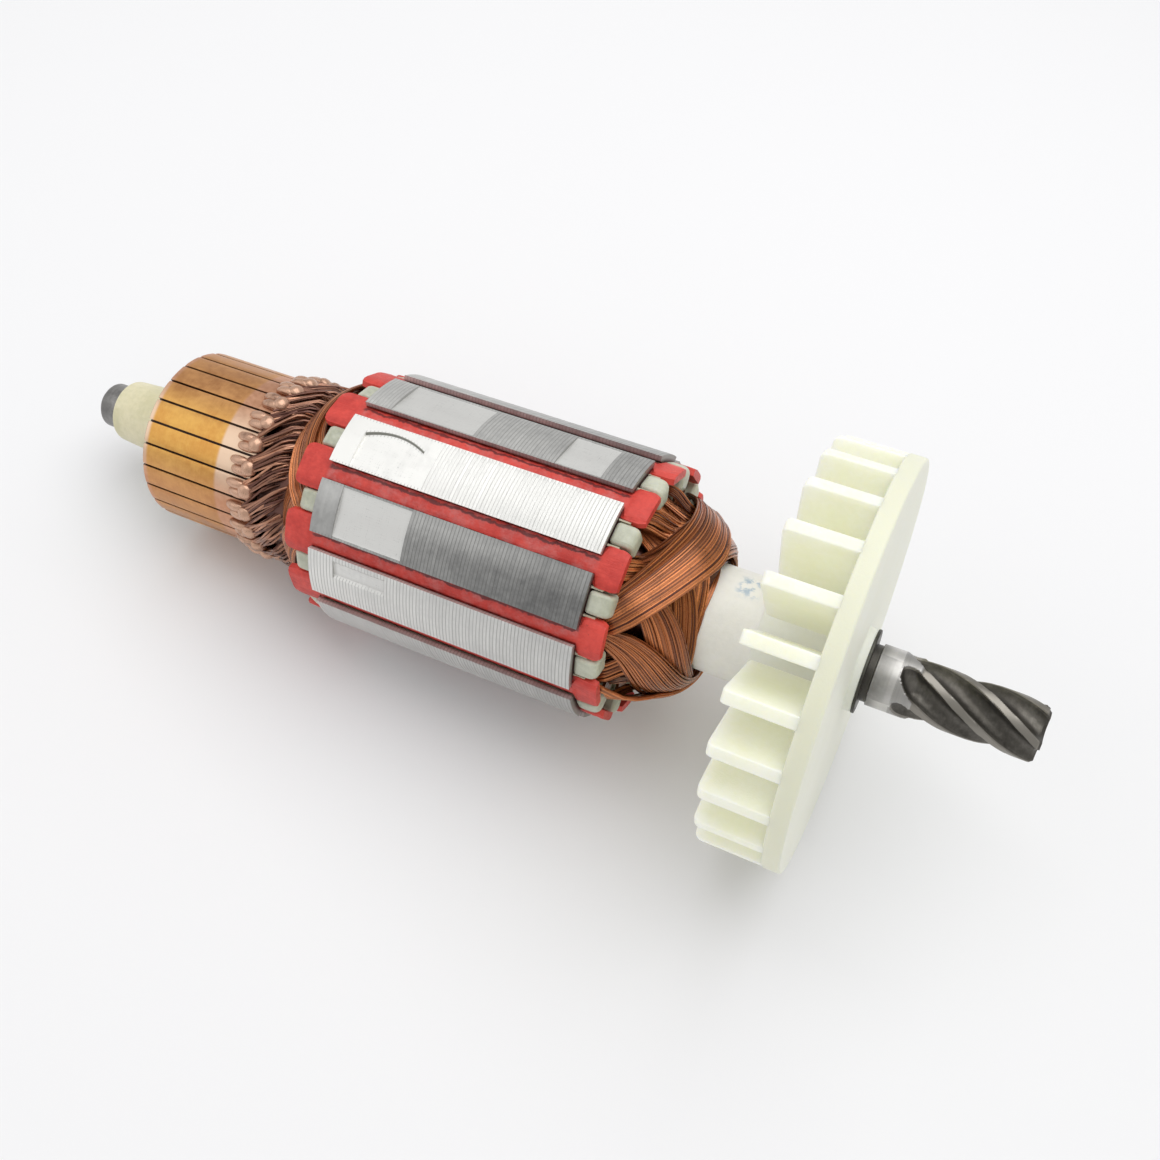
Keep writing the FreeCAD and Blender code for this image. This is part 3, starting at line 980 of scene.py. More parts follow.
@dataclass(frozen=True)
class DiscPlastic(Plastic):
    """Plastic of the fan disc, with painted shade that greys its rim."""

    # Painted shade: greyer colour round the rim.
    rim: Colour = (0.76, 0.765, 0.61)
    shaded_rim_r: float = FAN_R - 0.35
    shaded_rim_soft: float = 0.3

    def surface(self, sheet: NodeSheet, place: Place) -> Surface:
        """Plastic with painted shade on its rim.

        Args:
            sheet: Sheet of the material's tree.
            place: Outputs of the shared place effect.

        Returns:
            Values for the shader.
        """
        look = super().surface(sheet, place)
        # Painted shade on the rim.
        mask = sheet.span(place["Radius"], self.shaded_rim_r, self.shaded_rim_r + self.shaded_rim_soft)
        look.colour = sheet.mix(mask, look.colour, self.rim)
        return look


@dataclass(frozen=True)
class WedgeFibre(Finish):
    """Red fibre strip with dark varnish along one edge."""

    tones: Tones = ((0.5, 0.03, 0.022), (0.74, 0.07, 0.05))
    frosted: Colour = (0.6, 0.2, 0.19)
    varnish: Colour = (0.07, 0.012, 0.014)
    drop: Colour = (0.2, 0.02, 0.018)
    edge_turn: Pair = (12.2, 13.5)
    wobble: float = 5.0

    def surface(self, sheet: NodeSheet, place: Place) -> Surface:
        """Red with a frosted strip, dark varnish along one edge and drops.

        Args:
            sheet: Sheet of the material's tree.
            place: Outputs of the shared place effect.

        Returns:
            Values for the shader.
        """
        inside = sheet.band(place["Axial"], (0.0, CORE_L), 0.3)
        frost = sheet.span(sheet.noise(place["Point"], 0.55, 5.0, 0.7), 0.4, 0.75)
        frost = sheet.times(sheet.times(frost, inside), 0.6)
        colour = sheet.mix(frost, sheet.mottle(place, self.tones)["Colour"], self.frosted)
        turn = sheet.math("FLOORED_MODULO", sheet.plus(place["Angle"], 0.5 * SLOT_PITCH), SLOT_PITCH)
        uneven = sheet.less(sheet.noise(place["Point"], 0.5, 4.0, 0.65), 0.5)
        turn = sheet.plus(turn, sheet.times(uneven, self.wobble))
        edge = sheet.band(turn, self.edge_turn, 0.3)
        colour = sheet.mix(sheet.times(sheet.times(edge, inside), 0.8), colour, self.varnish)
        drops = sheet.span(sheet.noise(place["Point"], 0.9, 5.0, 0.65), 0.64, 0.72)
        colour = sheet.mix(sheet.times(drops, 0.5), colour, self.drop)
        grain = sheet.noise(sheet.stretch(place["Point"], (0.6, 4.0, 4.0)), 1.0, 4.0, 0.6)
        rough = sheet.plus(0.36, sheet.times(grain, 0.2))
        return Surface(colour, rough, 0.0, grain, 0.08)


@dataclass(frozen=True)
class WireEnamel(Finish):
    """Enamelled copper wire, each strand with its own tone, under brown varnish."""

    dark: Colour = (0.08, 0.018, 0.008)
    light: Colour = (0.7, 0.24, 0.075)
    varnish: Colour = (0.045, 0.014, 0.008)
    soak: float = 0.35
    coat: float = 0.35
    coat_rough: float = 0.25

    def surface(self, sheet: NodeSheet, place: Place) -> Surface:
        """Tone by strand, varnish in the low places.

        Args:
            sheet: Sheet of the material's tree.
            place: Outputs of the shared place effect.

        Returns:
            Values for the shader.
        """
        # The strand tone carries painted shade on deeper wires and on the dark filling.
        base = sheet.mix(sheet.strand(), self.dark, self.light)
        pool = sheet.span(sheet.noise(place["Point"], 0.45, 5.0, 0.6), 0.5, 0.72)
        colour = sheet.mix(sheet.times(pool, self.soak), base, self.varnish)
        grain = sheet.noise(place["Point"], 5.0, 3.0, 0.5)
        rough = sheet.plus(0.2, sheet.times(grain, 0.2))
        return Surface(colour, rough, 0.65, grain, 0.01)

    def extras(self, shader: bpy.types.Node) -> None:
        """Clear varnish over the wire."""
        shader.inputs["Coat Weight"].default_value = self.coat
        shader.inputs["Coat Roughness"].default_value = self.coat_rough


@dataclass(frozen=True)
class Resin(Finish):
    """Dark moulding resin with copper dust in its slots."""

    tones: Tones = ((0.05, 0.02, 0.012), (0.12, 0.055, 0.03))
    dust: Colour = (0.3, 0.15, 0.07)

    def surface(self, sheet: NodeSheet, place: Place) -> Surface:
        """Brown resin and dust.

        Args:
            sheet: Sheet of the material's tree.
            place: Outputs of the shared place effect.

        Returns:
            Values for the shader.
        """
        dusty = sheet.span(sheet.noise(place["Point"], 2.2, 4.0, 0.6), 0.55, 0.75)
        colour = sheet.mix(sheet.times(dusty, 0.4), sheet.mottle(place, self.tones)["Colour"], self.dust)
        return Surface(colour, 0.6, 0.0, dusty, 0.05)


@dataclass
class ShaftPiece(Piece):
    """Shaft with its journals and the helical pinion."""

    rear_journal_r: float = 3.5
    groove_r: float = 3.85
    journal_x: float = 74.0
    journal_r: float = 4.15
    flute_start_x: float = 77.1
    tip_x: float = 95.2
    teeth: int = 5
    tip_r: float = 3.9
    root_r: float = 2.5
    helix_angle: float = 30.5
    land_half: float = 9.0
    pinion_turn: float = -14.1
    runout_l: float = 3.6
    flute_round: float = 2.4
    overlap: float = 0.2
    lead_in: float = 1.0
    tip_round: float = 0.5
    tip_drop: float = 0.35
    segments: int = 180
    stations: int = 84

    def flute_radius(self, turn: float) -> float:
        """Radius of the pinion section at an angle from the middle of a land.

        Args:
            turn: Angle from the middle of a land in degrees.

        Returns:
            The radius in millimetres.
        """
        pitch = 360.0 / self.teeth
        turn = turn % pitch
        if turn <= self.land_half or turn >= pitch - self.land_half:
            return self.tip_r
        half = math.radians(0.5 * pitch - self.land_half)
        width = 2.0 * (self.tip_r * math.cos(half) - self.root_r)
        reach = (self.tip_r ** 2 - self.root_r ** 2) / width
        bow = reach - self.root_r
        off = math.radians(turn - 0.5 * pitch)
        root = max(bow ** 2 - (reach * math.sin(off)) ** 2, 0.0)
        return reach * math.cos(off) - math.sqrt(root)

    def flute_delay(self, turn: float) -> float:
        """Distance by which a flute begins later beside the lands, which rounds its end.

        Args:
            turn: Angle from the middle of a land in degrees.

        Returns:
            The distance in millimetres.
        """
        half = 0.5 * 360.0 / self.teeth
        off = abs(turn % (2.0 * half) - half) / (half - self.land_half)
        return self.flute_round * (1.0 - math.sqrt(1.0 - min(off, 1.0) ** 2))

    def floor_radius(self, x: float) -> float:
        """Least radius where the flutes run out beside the journal.

        Args:
            x: Place along the shaft in millimetres.

        Returns:
            The radius in millimetres.
        """
        share = (x - self.flute_start_x) / self.runout_l
        if share <= 0.0:
            return self.journal_r
        if share >= 1.0:
            return 0.0
        return self.journal_r - (self.journal_r - self.root_r) * math.sqrt(1.0 - (1.0 - share) ** 2)

    def make_body(self, finishes: Finishes) -> None:
        """Builds the plain shaft with its journals.

        Args:
            finishes: Materials by finish.
        """
        shaft = Draft()
        rear_r = self.rear_journal_r
        corners = [(REAR_END_X, AXIS_R, 0), (REAR_END_X, rear_r - JOURNAL_CHAMFER, 0.15)]
        corners += [(REAR_END_X + JOURNAL_CHAMFER, rear_r, 0.15), (REAR_SHOULDER_X, rear_r, 0)]
        corners += [(REAR_SHOULDER_X, NECK_R, 0.1), (MOULD_START_X, NECK_R, 0)]
        corners += [(MOULD_START_X, SHAFT_R, 0), (WASHER_END_X, SHAFT_R, 0), (WASHER_END_X, self.groove_r, 0)]
        corners += [(self.journal_x, self.groove_r, 0.1), (self.journal_x, self.journal_r, 0.12)]
        corners += [(self.flute_start_x, self.journal_r, 0), (self.flute_start_x, AXIS_R, 0)]
        shaft.lathe(rounded_profile(corners))
        self.build("shaft_body", shaft, finishes[Look.STEEL], "shaft_steel", ["shaft"])

    def make_pinion(self, finishes: Finishes) -> None:
        """Builds the helical pinion at the front end.

        Args:
            finishes: Materials by finish.
        """
        pinion = Draft()
        lead = 2.0 * math.pi * self.tip_r / math.tan(math.radians(self.helix_angle))
        start = self.flute_start_x - self.lead_in
        rings = []
        for j in range(self.stations + 1):
            length = self.tip_x - self.flute_start_x + self.overlap
            x = self.flute_start_x - self.overlap + length * j / self.stations
            twist = self.pinion_turn + 360.0 * (x - start) / lead
            ease = self.tip_drop * smooth((x - self.tip_x + self.tip_round) / self.tip_round)
            ring = []
            for i in range(self.segments):
                angle = 360.0 * i / self.segments
                late = self.flute_delay(angle - twist)
                r = max(self.flute_radius(angle - twist), self.floor_radius(x - late))
                ring.append(polar(x, r - ease, angle))
            rings.append(ring)
        pinion.rings(rings)
        self.build("pinion", pinion, finishes[Look.PINION], "shaft_steel", ["shaft"], sharp=30.0)

    def make(self, finishes: Finishes) -> None:
        """Builds the plain shaft and the pinion."""
        self.make_body(finishes)
        self.make_pinion(finishes)


@dataclass(frozen=True)
class Lobe:
    """Lump of a hook, with its distance behind the front end of the bar."""

    back: float
    length: float
    half: float
    high: float


@dataclass
class CommutatorPiece(Piece):
    """Copper bars with their fused hooks."""

    inner_r: float = 8.7
    gap_half: float = 0.32
    gap_shown_half: float = 0.17
    chamfer: float = 0.22
    edge_drop: float = 0.06
    outer_steps: int = 4
    inner_steps: int = 2
    ear: Lobe = Lobe(back=3.3, length=3.3, half=0.72, high=1.05)
    root: Lobe = Lobe(back=1.5, length=2.3, half=1.15, high=1.25)
    ear_shift: float = 0.25
    ear_side: float = 0.62
    lobe_steps: int = 10
    lobe_sides: int = 12

    def make(self, finishes: Finishes) -> None:
        """Builds the bars and the hooks.

        Args:
            finishes: Materials by finish.
        """
        bars = Draft()
        hooks = Draft()
        rng = random.Random(SEED)
        half = 0.5 * BAR_PITCH
        outer = half - math.degrees(math.asin(self.gap_shown_half / BAR_R))
        inner = half - math.degrees(math.asin(self.gap_half / self.inner_r))
        for index in range(BARS):
            mid = index * BAR_PITCH + COMM_TURN
            rings = []
            for x, drop in ((BAR_START_X, self.chamfer), (BAR_START_X + self.chamfer, 0.0), (BAR_END_X, 0.0)):
                ring = []
                for k in range(-self.outer_steps, self.outer_steps + 1):
                    edge = self.edge_drop if abs(k) == self.outer_steps else 0.0
                    ring.append(polar(x, BAR_R - drop - edge, mid + outer * k / self.outer_steps))
                for k in range(self.inner_steps, -self.inner_steps - 1, -1):
                    ring.append(polar(x, self.inner_r, mid + inner * k / self.inner_steps))
                rings.append(ring)
            bars.rings(rings)
            self.add_hook(hooks, mid + rng.uniform(-0.5, 0.5), rng.uniform(-0.12, 0.1))
        names = ["commutator_bar_%02d" % (i + 1) for i in range(BARS)]
        self.build("commutator_bars", bars, finishes[Look.BARS], "bar_copper", names)
        self.build("commutator_hooks", hooks, finishes[Look.HOOKS], "bar_copper", names, sharp=60.0)

    def add_hook(self, draft: Draft, angle: float, grow: float) -> None:
        """Tang fused over two wires, with the stub of a wire at its front.

        Args:
            draft: Mesh that takes the faces.
            angle: Angle of the bar.
            grow: Height added to the lump.
        """
        pitch = math.degrees(self.ear_side / BAR_R)
        for way in (-1.0, 1.0):
            start = BAR_END_X - self.ear.back + self.ear_shift * way
            self.add_lobe(draft, self.ear, start, grow, angle + pitch * way)
        self.add_lobe(draft, self.root, BAR_END_X - self.root.back, grow, angle)

    def add_lobe(self, draft: Draft, lobe: Lobe, start: float, grow: float, angle: float) -> None:
        """Rounded lump on a bar.

        Args:
            draft: Mesh that takes the lump.
            lobe: Sizes of the lump.
            start: Rear end of the lump.
            grow: Height added to the lump.
            angle: Angle of its middle.
        """
        high = lobe.high + grow
        rings = []
        for j in range(self.lobe_steps + 1):
            t = j / self.lobe_steps
            bulge = math.sin(math.pi * (0.04 + 0.92 * t)) ** 0.45
            rise = 0.1 + 0.5 * high * bulge
            ring = []
            for k in range(self.lobe_sides):
                turn = 2.0 * math.pi * k / self.lobe_sides
                side = lobe.half * (0.25 + 0.75 * bulge) * math.cos(turn)
                height = BAR_R - 0.1 + rise * (1.0 + math.sin(turn))
                ring.append(local(start + lobe.length * t, side, height, angle))
            rings.append(ring)
        draft.rings(rings)


@dataclass
class WindingPiece(Piece):
    """Winding heads made of single wires, with the leads to the hooks."""

    throw: int = 5
    wire_r: float = 0.135
    wire_sides: int = 5
    across: int = 28
    deep: int = 2
    steps: int = 26
    layers: int = 6
    layer_t: float = 0.68
    hub_r: float = 7.6
    mouth_r: float = 16.1
    front_limit: float = 12.4
    rear_limit: float = 10.4
    front_ball: Triple = (8.6, 0.9, 0.4)
    rear_ball: Triple = (9.7, 2.3, 0.45)
    outer_reach: float = 6.7
    late: float = 0.55
    sunk: float = 1.0
    mouths: tuple[float, ...] = (60.0, 90.0, 120.0, 180.0, 210.0)
    mouth_wires: int = 11
    mouth_rows: int = 2
    mouth_steps: int = 12
    mouth_turn: float = 10.6
    mouth_l: float = 5.4
    mouth_lean: float = -8.5
    filling_r: float = 11.5
    filling_steps: int = 8
    side_outline: tuple[Pair, ...] = ((-1.0, 10.9), (1.0, 10.9), (2.1, 16.5), (-2.1, 16.5))
    side_overhang: float = 2.0
    lead_strands: int = 11
    lead_steps: int = 10
    lead_r: float = 13.5
    lead_turn: float = 11.0
    lead_climb: Pair = (-30.0, -16.0)
    lead_length: Pair = (4.0, 6.8)
    lead_wire_r: Pair = (0.15, 0.22)
    neck: tuple[Pair, ...] = (
        (BAR_END_X + 0.7, 7.0),
        (BAR_END_X + 0.7, 11.9),
        (-9.0, 12.6),
        (-5.0, 12.0),
        (-5.0, 7.0),
    )
    turned_segments: int = 48

    def ball_radius(self, reach: float, limit: float) -> float:
        """Radius of the outer surface of a head at a distance beyond the stack.

        Args:
            reach: Distance beyond the stack.
            limit: Greatest distance beyond the stack.

        Returns:
            The radius in millimetres.
        """
        share = min(max(reach / (limit + 0.5), 0.0), 1.0)
        rise, bend, tip = self.rear_ball if limit < self.front_limit else self.front_ball
        return self.hub_r + rise * (1.0 - share ** bend) ** tip

    def head_path(
        self, first: float, span: float, spread: float, depth: float, limit: float
    ) -> list[Triple]:
        """Path of one wire over a head.

        Args:
            first: Angle of the slot that the wire leaves.
            span: Angle to the slot that it enters.
            spread: Place across the bundle, 0 beside the stack and 1 beside the sleeve.
            depth: Distance below the outer surface of the head.
            limit: Greatest distance beyond the stack.

        Returns:
            Points as (distance beyond the stack, radius, angle).
        """
        path = []
        lowest = self.outer_reach if depth < 2.0 * self.layer_t else 0.62 * limit + 0.5
        peak = lowest + (limit - lowest) * spread ** 0.8
        delay = 0.0 if depth < 0.9 * self.layer_t else self.late
        power = (0.95 - 0.5 * spread) * (1.0 - 0.45 * delay)
        mouth_r = self.mouth_r - 0.45 * depth
        side = 5.5 * (spread - 0.5)
        for j in range(self.steps + 1):
            t = j / self.steps
            edge = min(t, 1.0 - t)
            reach = -self.sunk + (peak + self.sunk) * math.sin(math.pi * t) ** power
            surface = max(self.ball_radius(max(reach, 0.0), limit) - depth, SLEEVE_R + self.wire_r)
            settle = edge * 5.0 if delay == 0.0 else max(reach, 0.0) / 2.6
            radius = mouth_r + (surface - mouth_r) * smooth(settle)
            turned = t - delay * math.sin(2.0 * math.pi * t) / (2.0 * math.pi)
            way = 1.0 if t > 0.5 else -1.0
            angle = first + span * turned + side * (1.0 - smooth(edge * 4.0)) * way
            path.append((reach, radius, angle))
        return path

    def add_head(
        self, draft: Draft, face_x: float, out: float, limit: float, rng: random.Random
    ) -> None:
        """Wires of all the coils at one end of the stack.

        Args:
            draft: Mesh that takes the faces.
            face_x: End face of the stack.
            out: Way along the shaft, 1 to the front and -1 to the rear.
            limit: Greatest distance beyond the stack.
            rng: Source of the random draws.
        """
        for index in range(SLOTS):
            layer = (index - 1) % self.layers
            first = index * SLOT_PITCH
            for i in range(self.across):
                for k in range(self.deep):
                    spread = min(max((i + 0.5 * k + rng.uniform(0.1, 0.6)) / self.across, 0.0), 1.0)
                    depth = self.layer_t * (self.layers - 1 - layer) + 0.33 * k + rng.uniform(0.0, 0.22)
                    # Every other wire lighter with a random tone; the deeper wire of each pair darker as
                    # painted shade.
                    draft.tone = (0.45 * (i % 2) + 0.55 * rng.random()) * (1.0 - 0.35 * k)
                    path = self.head_path(first, self.throw * SLOT_PITCH, spread, depth, limit)
                    points = [polar(face_x + out * reach, r, angle) for reach, r, angle in path]
                    draft.wire(points, self.wire_r, self.wire_sides)

    def add_mouths(self, draft: Draft, rng: random.Random) -> None:
        """Wires that fan out of the slots under the outer bundle of the front head.

        Args:
            draft: Mesh that takes the faces.
            rng: Source of the random draws.
        """
        for middle in self.mouths:
            for row in range(self.mouth_rows):
                for i in range(self.mouth_wires):
                    share = (i + 0.5 * row + rng.uniform(-0.15, 0.15)) / (self.mouth_wires - 1)
                    off = self.mouth_turn * (share - 0.5)
                    lean = self.mouth_lean + 0.35 * off + rng.uniform(-1.2, 1.2)
                    length = self.mouth_l + rng.uniform(-0.4, 0.4)
                    sink = 0.24 * (1 - row) + rng.uniform(0.0, 0.1)
                    # Random tone per wire; the lower row darker as painted shade.
                    draft.tone = rng.random() * (0.45 + 0.55 * row)
                    points = []
                    for j in range(self.mouth_steps + 1):
                        t = j / self.mouth_steps
                        reach = -self.sunk + (length + self.sunk) * t
                        surface = self.ball_radius(max(reach, 0.0), self.front_limit) - 0.15
                        radius = surface - sink - 1.0 * smooth((t - 0.6) * 2.5)
                        angle = middle + off + lean * t ** 1.3
                        points.append(polar(CORE_L + reach, radius, angle))
                    draft.wire(points, self.wire_r, self.wire_sides)

    def add_filling(self, draft: Draft, face_x: float, out: float, limit: float) -> None:
        """Inside of a head in the darkest wire tone: painted shade seen between its wires.

        Args:
            draft: Mesh that takes the faces.
            face_x: End face of the stack.
            out: Way along the shaft, 1 to the front and -1 to the rear.
            limit: Greatest distance beyond the stack.
        """
        profile = [(face_x + out * 1.3, self.hub_r), (face_x + out * 1.3, self.filling_r)]
        for j in range(self.filling_steps + 1):
            reach = 1.6 + (limit - 2.2) * j / self.filling_steps
            profile.append((face_x + out * reach, max(self.ball_radius(reach, limit) - 3.4, 7.8)))
        profile.append((face_x + out * (limit - 0.5), self.hub_r))
        # Painted shade: the filling takes the darkest wire tone.
        draft.tone = 0.0
        draft.lathe(profile, self.turned_segments)

    def add_sides(self, draft: Draft) -> None:
        """Straight part of every coil inside its slot.

        Args:
            draft: Mesh that takes the faces.
        """
        draft.tone = 0.2
        for index in range(SLOTS):
            end = CORE_L + self.side_overhang
            draft.prism(self.side_outline, -self.side_overhang, end, index * SLOT_PITCH)

    def add_leads(self, draft: Draft, rng: random.Random) -> None:
        """Wire ends that climb from the hooks into the rear head.

        Args:
            draft: Mesh that takes the faces.
            rng: Source of the random draws.
        """
        for index in range(BARS):
            hook = index * BAR_PITCH + COMM_TURN
            for strand in range(self.lead_strands):
                draft.tone = rng.uniform(0.0, 1.0) ** 1.5
                climb = rng.uniform(*self.lead_climb)
                low = rng.uniform(0.0, 0.9)
                end_x = BAR_END_X + rng.uniform(*self.lead_length)
                share = strand / (self.lead_strands - 1) - 0.5
                begin = hook + self.lead_turn * share + rng.uniform(-0.8, 0.8)
                bend = rng.uniform(-1.5, 1.5)
                points = []
                for j in range(self.lead_steps + 1):
                    t = j / self.lead_steps
                    x = BAR_END_X - 0.6 + (end_x - BAR_END_X + 0.6) * t
                    r = self.lead_r - low * smooth(3.0 * t) + 0.5 * math.sin(math.pi * 0.6 * t)
                    angle = begin + climb * t + bend * math.sin(math.pi * t)
                    points.append(polar(x, r - 1.6 * smooth((t - 0.7) * 3.4), angle))
                draft.wire(points, rng.uniform(*self.lead_wire_r))

    def add_neck(self, draft: Draft) -> None:
        """Bed under the leads in the darkest wire tone: painted shade seen between them."""
        # Painted shade: the bed takes the darkest wire tone.
        draft.tone = 0.0
        draft.lathe(self.neck, self.turned_segments)

    def make(self, finishes: Finishes) -> None:
        """Builds both heads and the leads.

        Args:
            finishes: Materials by finish.
        """
        rng = random.Random(SEED + 1)
        front = Draft()
        self.add_filling(front, CORE_L, 1.0, self.front_limit)
        self.add_head(front, CORE_L, 1.0, self.front_limit, rng)
        self.add_sides(front)
        self.add_mouths(front, random.Random(SEED + 4))
        coils = ["coil_%02d" % (i + 1) for i in range(SLOTS)]
        wire = finishes[Look.WIRE]
        self.build("winding_front", front, wire, "winding_copper", coils, sharp=60.0)
        rear = Draft()
        self.add_filling(rear, 0.0, -1.0, self.rear_limit)
        self.add_head(rear, 0.0, -1.0, self.rear_limit, rng)
        self.build("winding_rear", rear, wire, "winding_copper", coils, sharp=60.0)
        leads = Draft()
        self.add_neck(leads)
        self.add_leads(leads, rng)
        nodes = ["lead_wires"]
        self.build("lead_wires_fine", leads, finishes[Look.LEADS], "winding_copper", nodes, sharp=60.0)


@dataclass
class FanPiece(Piece):
    """Radial blades on a disc with a hub."""

    blade_count: int = 25
    blade_t: float = 1.7
    blade_start_x: float = 60.3
    blade_root: float = 1.0
    blade_round: float = 1.0
    blade_bevel: float = 0.18
    tip_inset: float = 0.04
    rim_inset: float = 0.01
    inner_r: float = 14.5
    disc_end_x: float = 71.6
    disc_segments: int = 144
    hub_r: float = 8.2
    hub_overhang: float = 1.3
    boss_r: float = 5.65
    first_angle: float = 270.0

    def make(self, finishes: Finishes) -> None:
        """Builds the blades and the disc.

        Args:
            finishes: Materials by finish.
        """
        blades = Draft()
        start = self.blade_start_x
        root = DISC_START_X + self.blade_root
        tip = FAN_R - self.tip_inset
        corners = [(start, self.inner_r, self.blade_round), (start, tip, self.blade_round)]
        corners += [(root, tip, 0), (root, self.inner_r, 0)]
        outline = rounded_profile(corners, 5)
        for index in range(self.blade_count):
            angle = self.first_angle + 360.0 / self.blade_count * index
            blades.plate(outline, 0.5 * self.blade_t, angle)
        names = ["fan"]
        nylon = finishes[Look.FAN]
        self.build("fan_blades", blades, nylon, "fan_nylon", names, bevel=self.blade_bevel)
        disc = Draft()
        corners = [(DISC_START_X, SHAFT_R, 0), (BOSS_END_X, SHAFT_R, 0), (BOSS_END_X, self.boss_r, 0.15)]
        rim = FAN_R - self.rim_inset
        corners += [(self.disc_end_x, self.boss_r, 0.3), (self.disc_end_x, rim, 0.4)]
        corners += [(DISC_START_X, rim, 0.25), (DISC_START_X, self.hub_r, 0.4)]
        hub_x = start - self.hub_overhang
        corners += [(hub_x, self.hub_r, 0.25), (hub_x, SLEEVE_R, 0), (DISC_START_X, SLEEVE_R, 0)]
        disc.lathe(rounded_profile(corners), self.disc_segments)
        self.build("fan_disc", disc, finishes[Look.DISC], "fan_nylon", names)


@dataclass
class SleevePiece(Piece):
    """Insulation on the shaft, the collar and the washer."""

    start_x: float = 40.7
    washer_r: float = 5.7
    flare_r: float = 6.2
    waist: Pair = (-38.8, 5.4)
    tail_r: float = 4.8

    def make(self, finishes: Finishes) -> None:
        """Builds the three turned pieces.

        Args:
            finishes: Materials by finish.
        """
        sleeve = Draft()
        corners = [(MOULD_START_X, SHAFT_R, 0), (DISC_START_X, SHAFT_R, 0), (DISC_START_X, SLEEVE_R, 0)]
        corners += [(self.start_x, SLEEVE_R, 0.2), (self.start_x, TUBE_R, 0), (MOULD_START_X, TUBE_R, 0)]
        sleeve.lathe(rounded_profile(corners))
        self.build("front_sleeve", sleeve, finishes[Look.SLEEVE], "sleeve_plastic", ["shaft_insulation"])
        collar = Draft()
        corners = [(REAR_SHOULDER_X, NECK_R, 0), (MOULD_START_X, NECK_R, 0)]
        corners += [(MOULD_START_X, self.flare_r, 0.2)]
        corners += [(*self.waist, 1.2), (REAR_SHOULDER_X, self.tail_r, 0.3)]
        collar.lathe(rounded_profile(corners))
        self.build("collar_flare", collar, finishes[Look.COLLAR], "collar_plastic", ["rear_collar"])
        washer = Draft()
        corners = [(BOSS_END_X, SHAFT_R, 0), (WASHER_END_X, SHAFT_R, 0.05)]
        corners += [(WASHER_END_X, self.washer_r, 0.1), (BOSS_END_X, self.washer_r, 0.1)]
        washer.lathe(rounded_profile(corners))
        self.build("thrust_washer", washer, finishes[Look.WASHER], "washer_steel", ["washer"])


@dataclass(frozen=True)
class Pocket:
    """Flat milled across part of a tooth, given by its ends and its sides."""

    tooth: float
    start: float
    end: float
    low: float = -6.0
    high: float = 6.0
    bow: float = 0.0

    def spans(self, x: float, tooth: float) -> bool:
        """True if the flat crosses a tooth at a place."""
        return tooth == self.tooth and self.start <= x <= self.end

    def low_side(self, x: float) -> float:
        """Low side at a place, bowed outwards in its middle."""
        share = (2.0 * x - self.start - self.end) / (self.end - self.start)
        return self.low - self.bow * max(1.0 - share * share, 0.0)

    def holds(self, x: float, tooth: float, side: float) -> bool:
        """True where the flat lies."""
        return self.spans(x, tooth) and self.low_side(x) <= side <= self.high


class Ground(Enum):
    """Kinds of surface on a tooth."""

    MILLED = "milled"
    SMOOTH = "smooth"
    SHEET = "sheet"


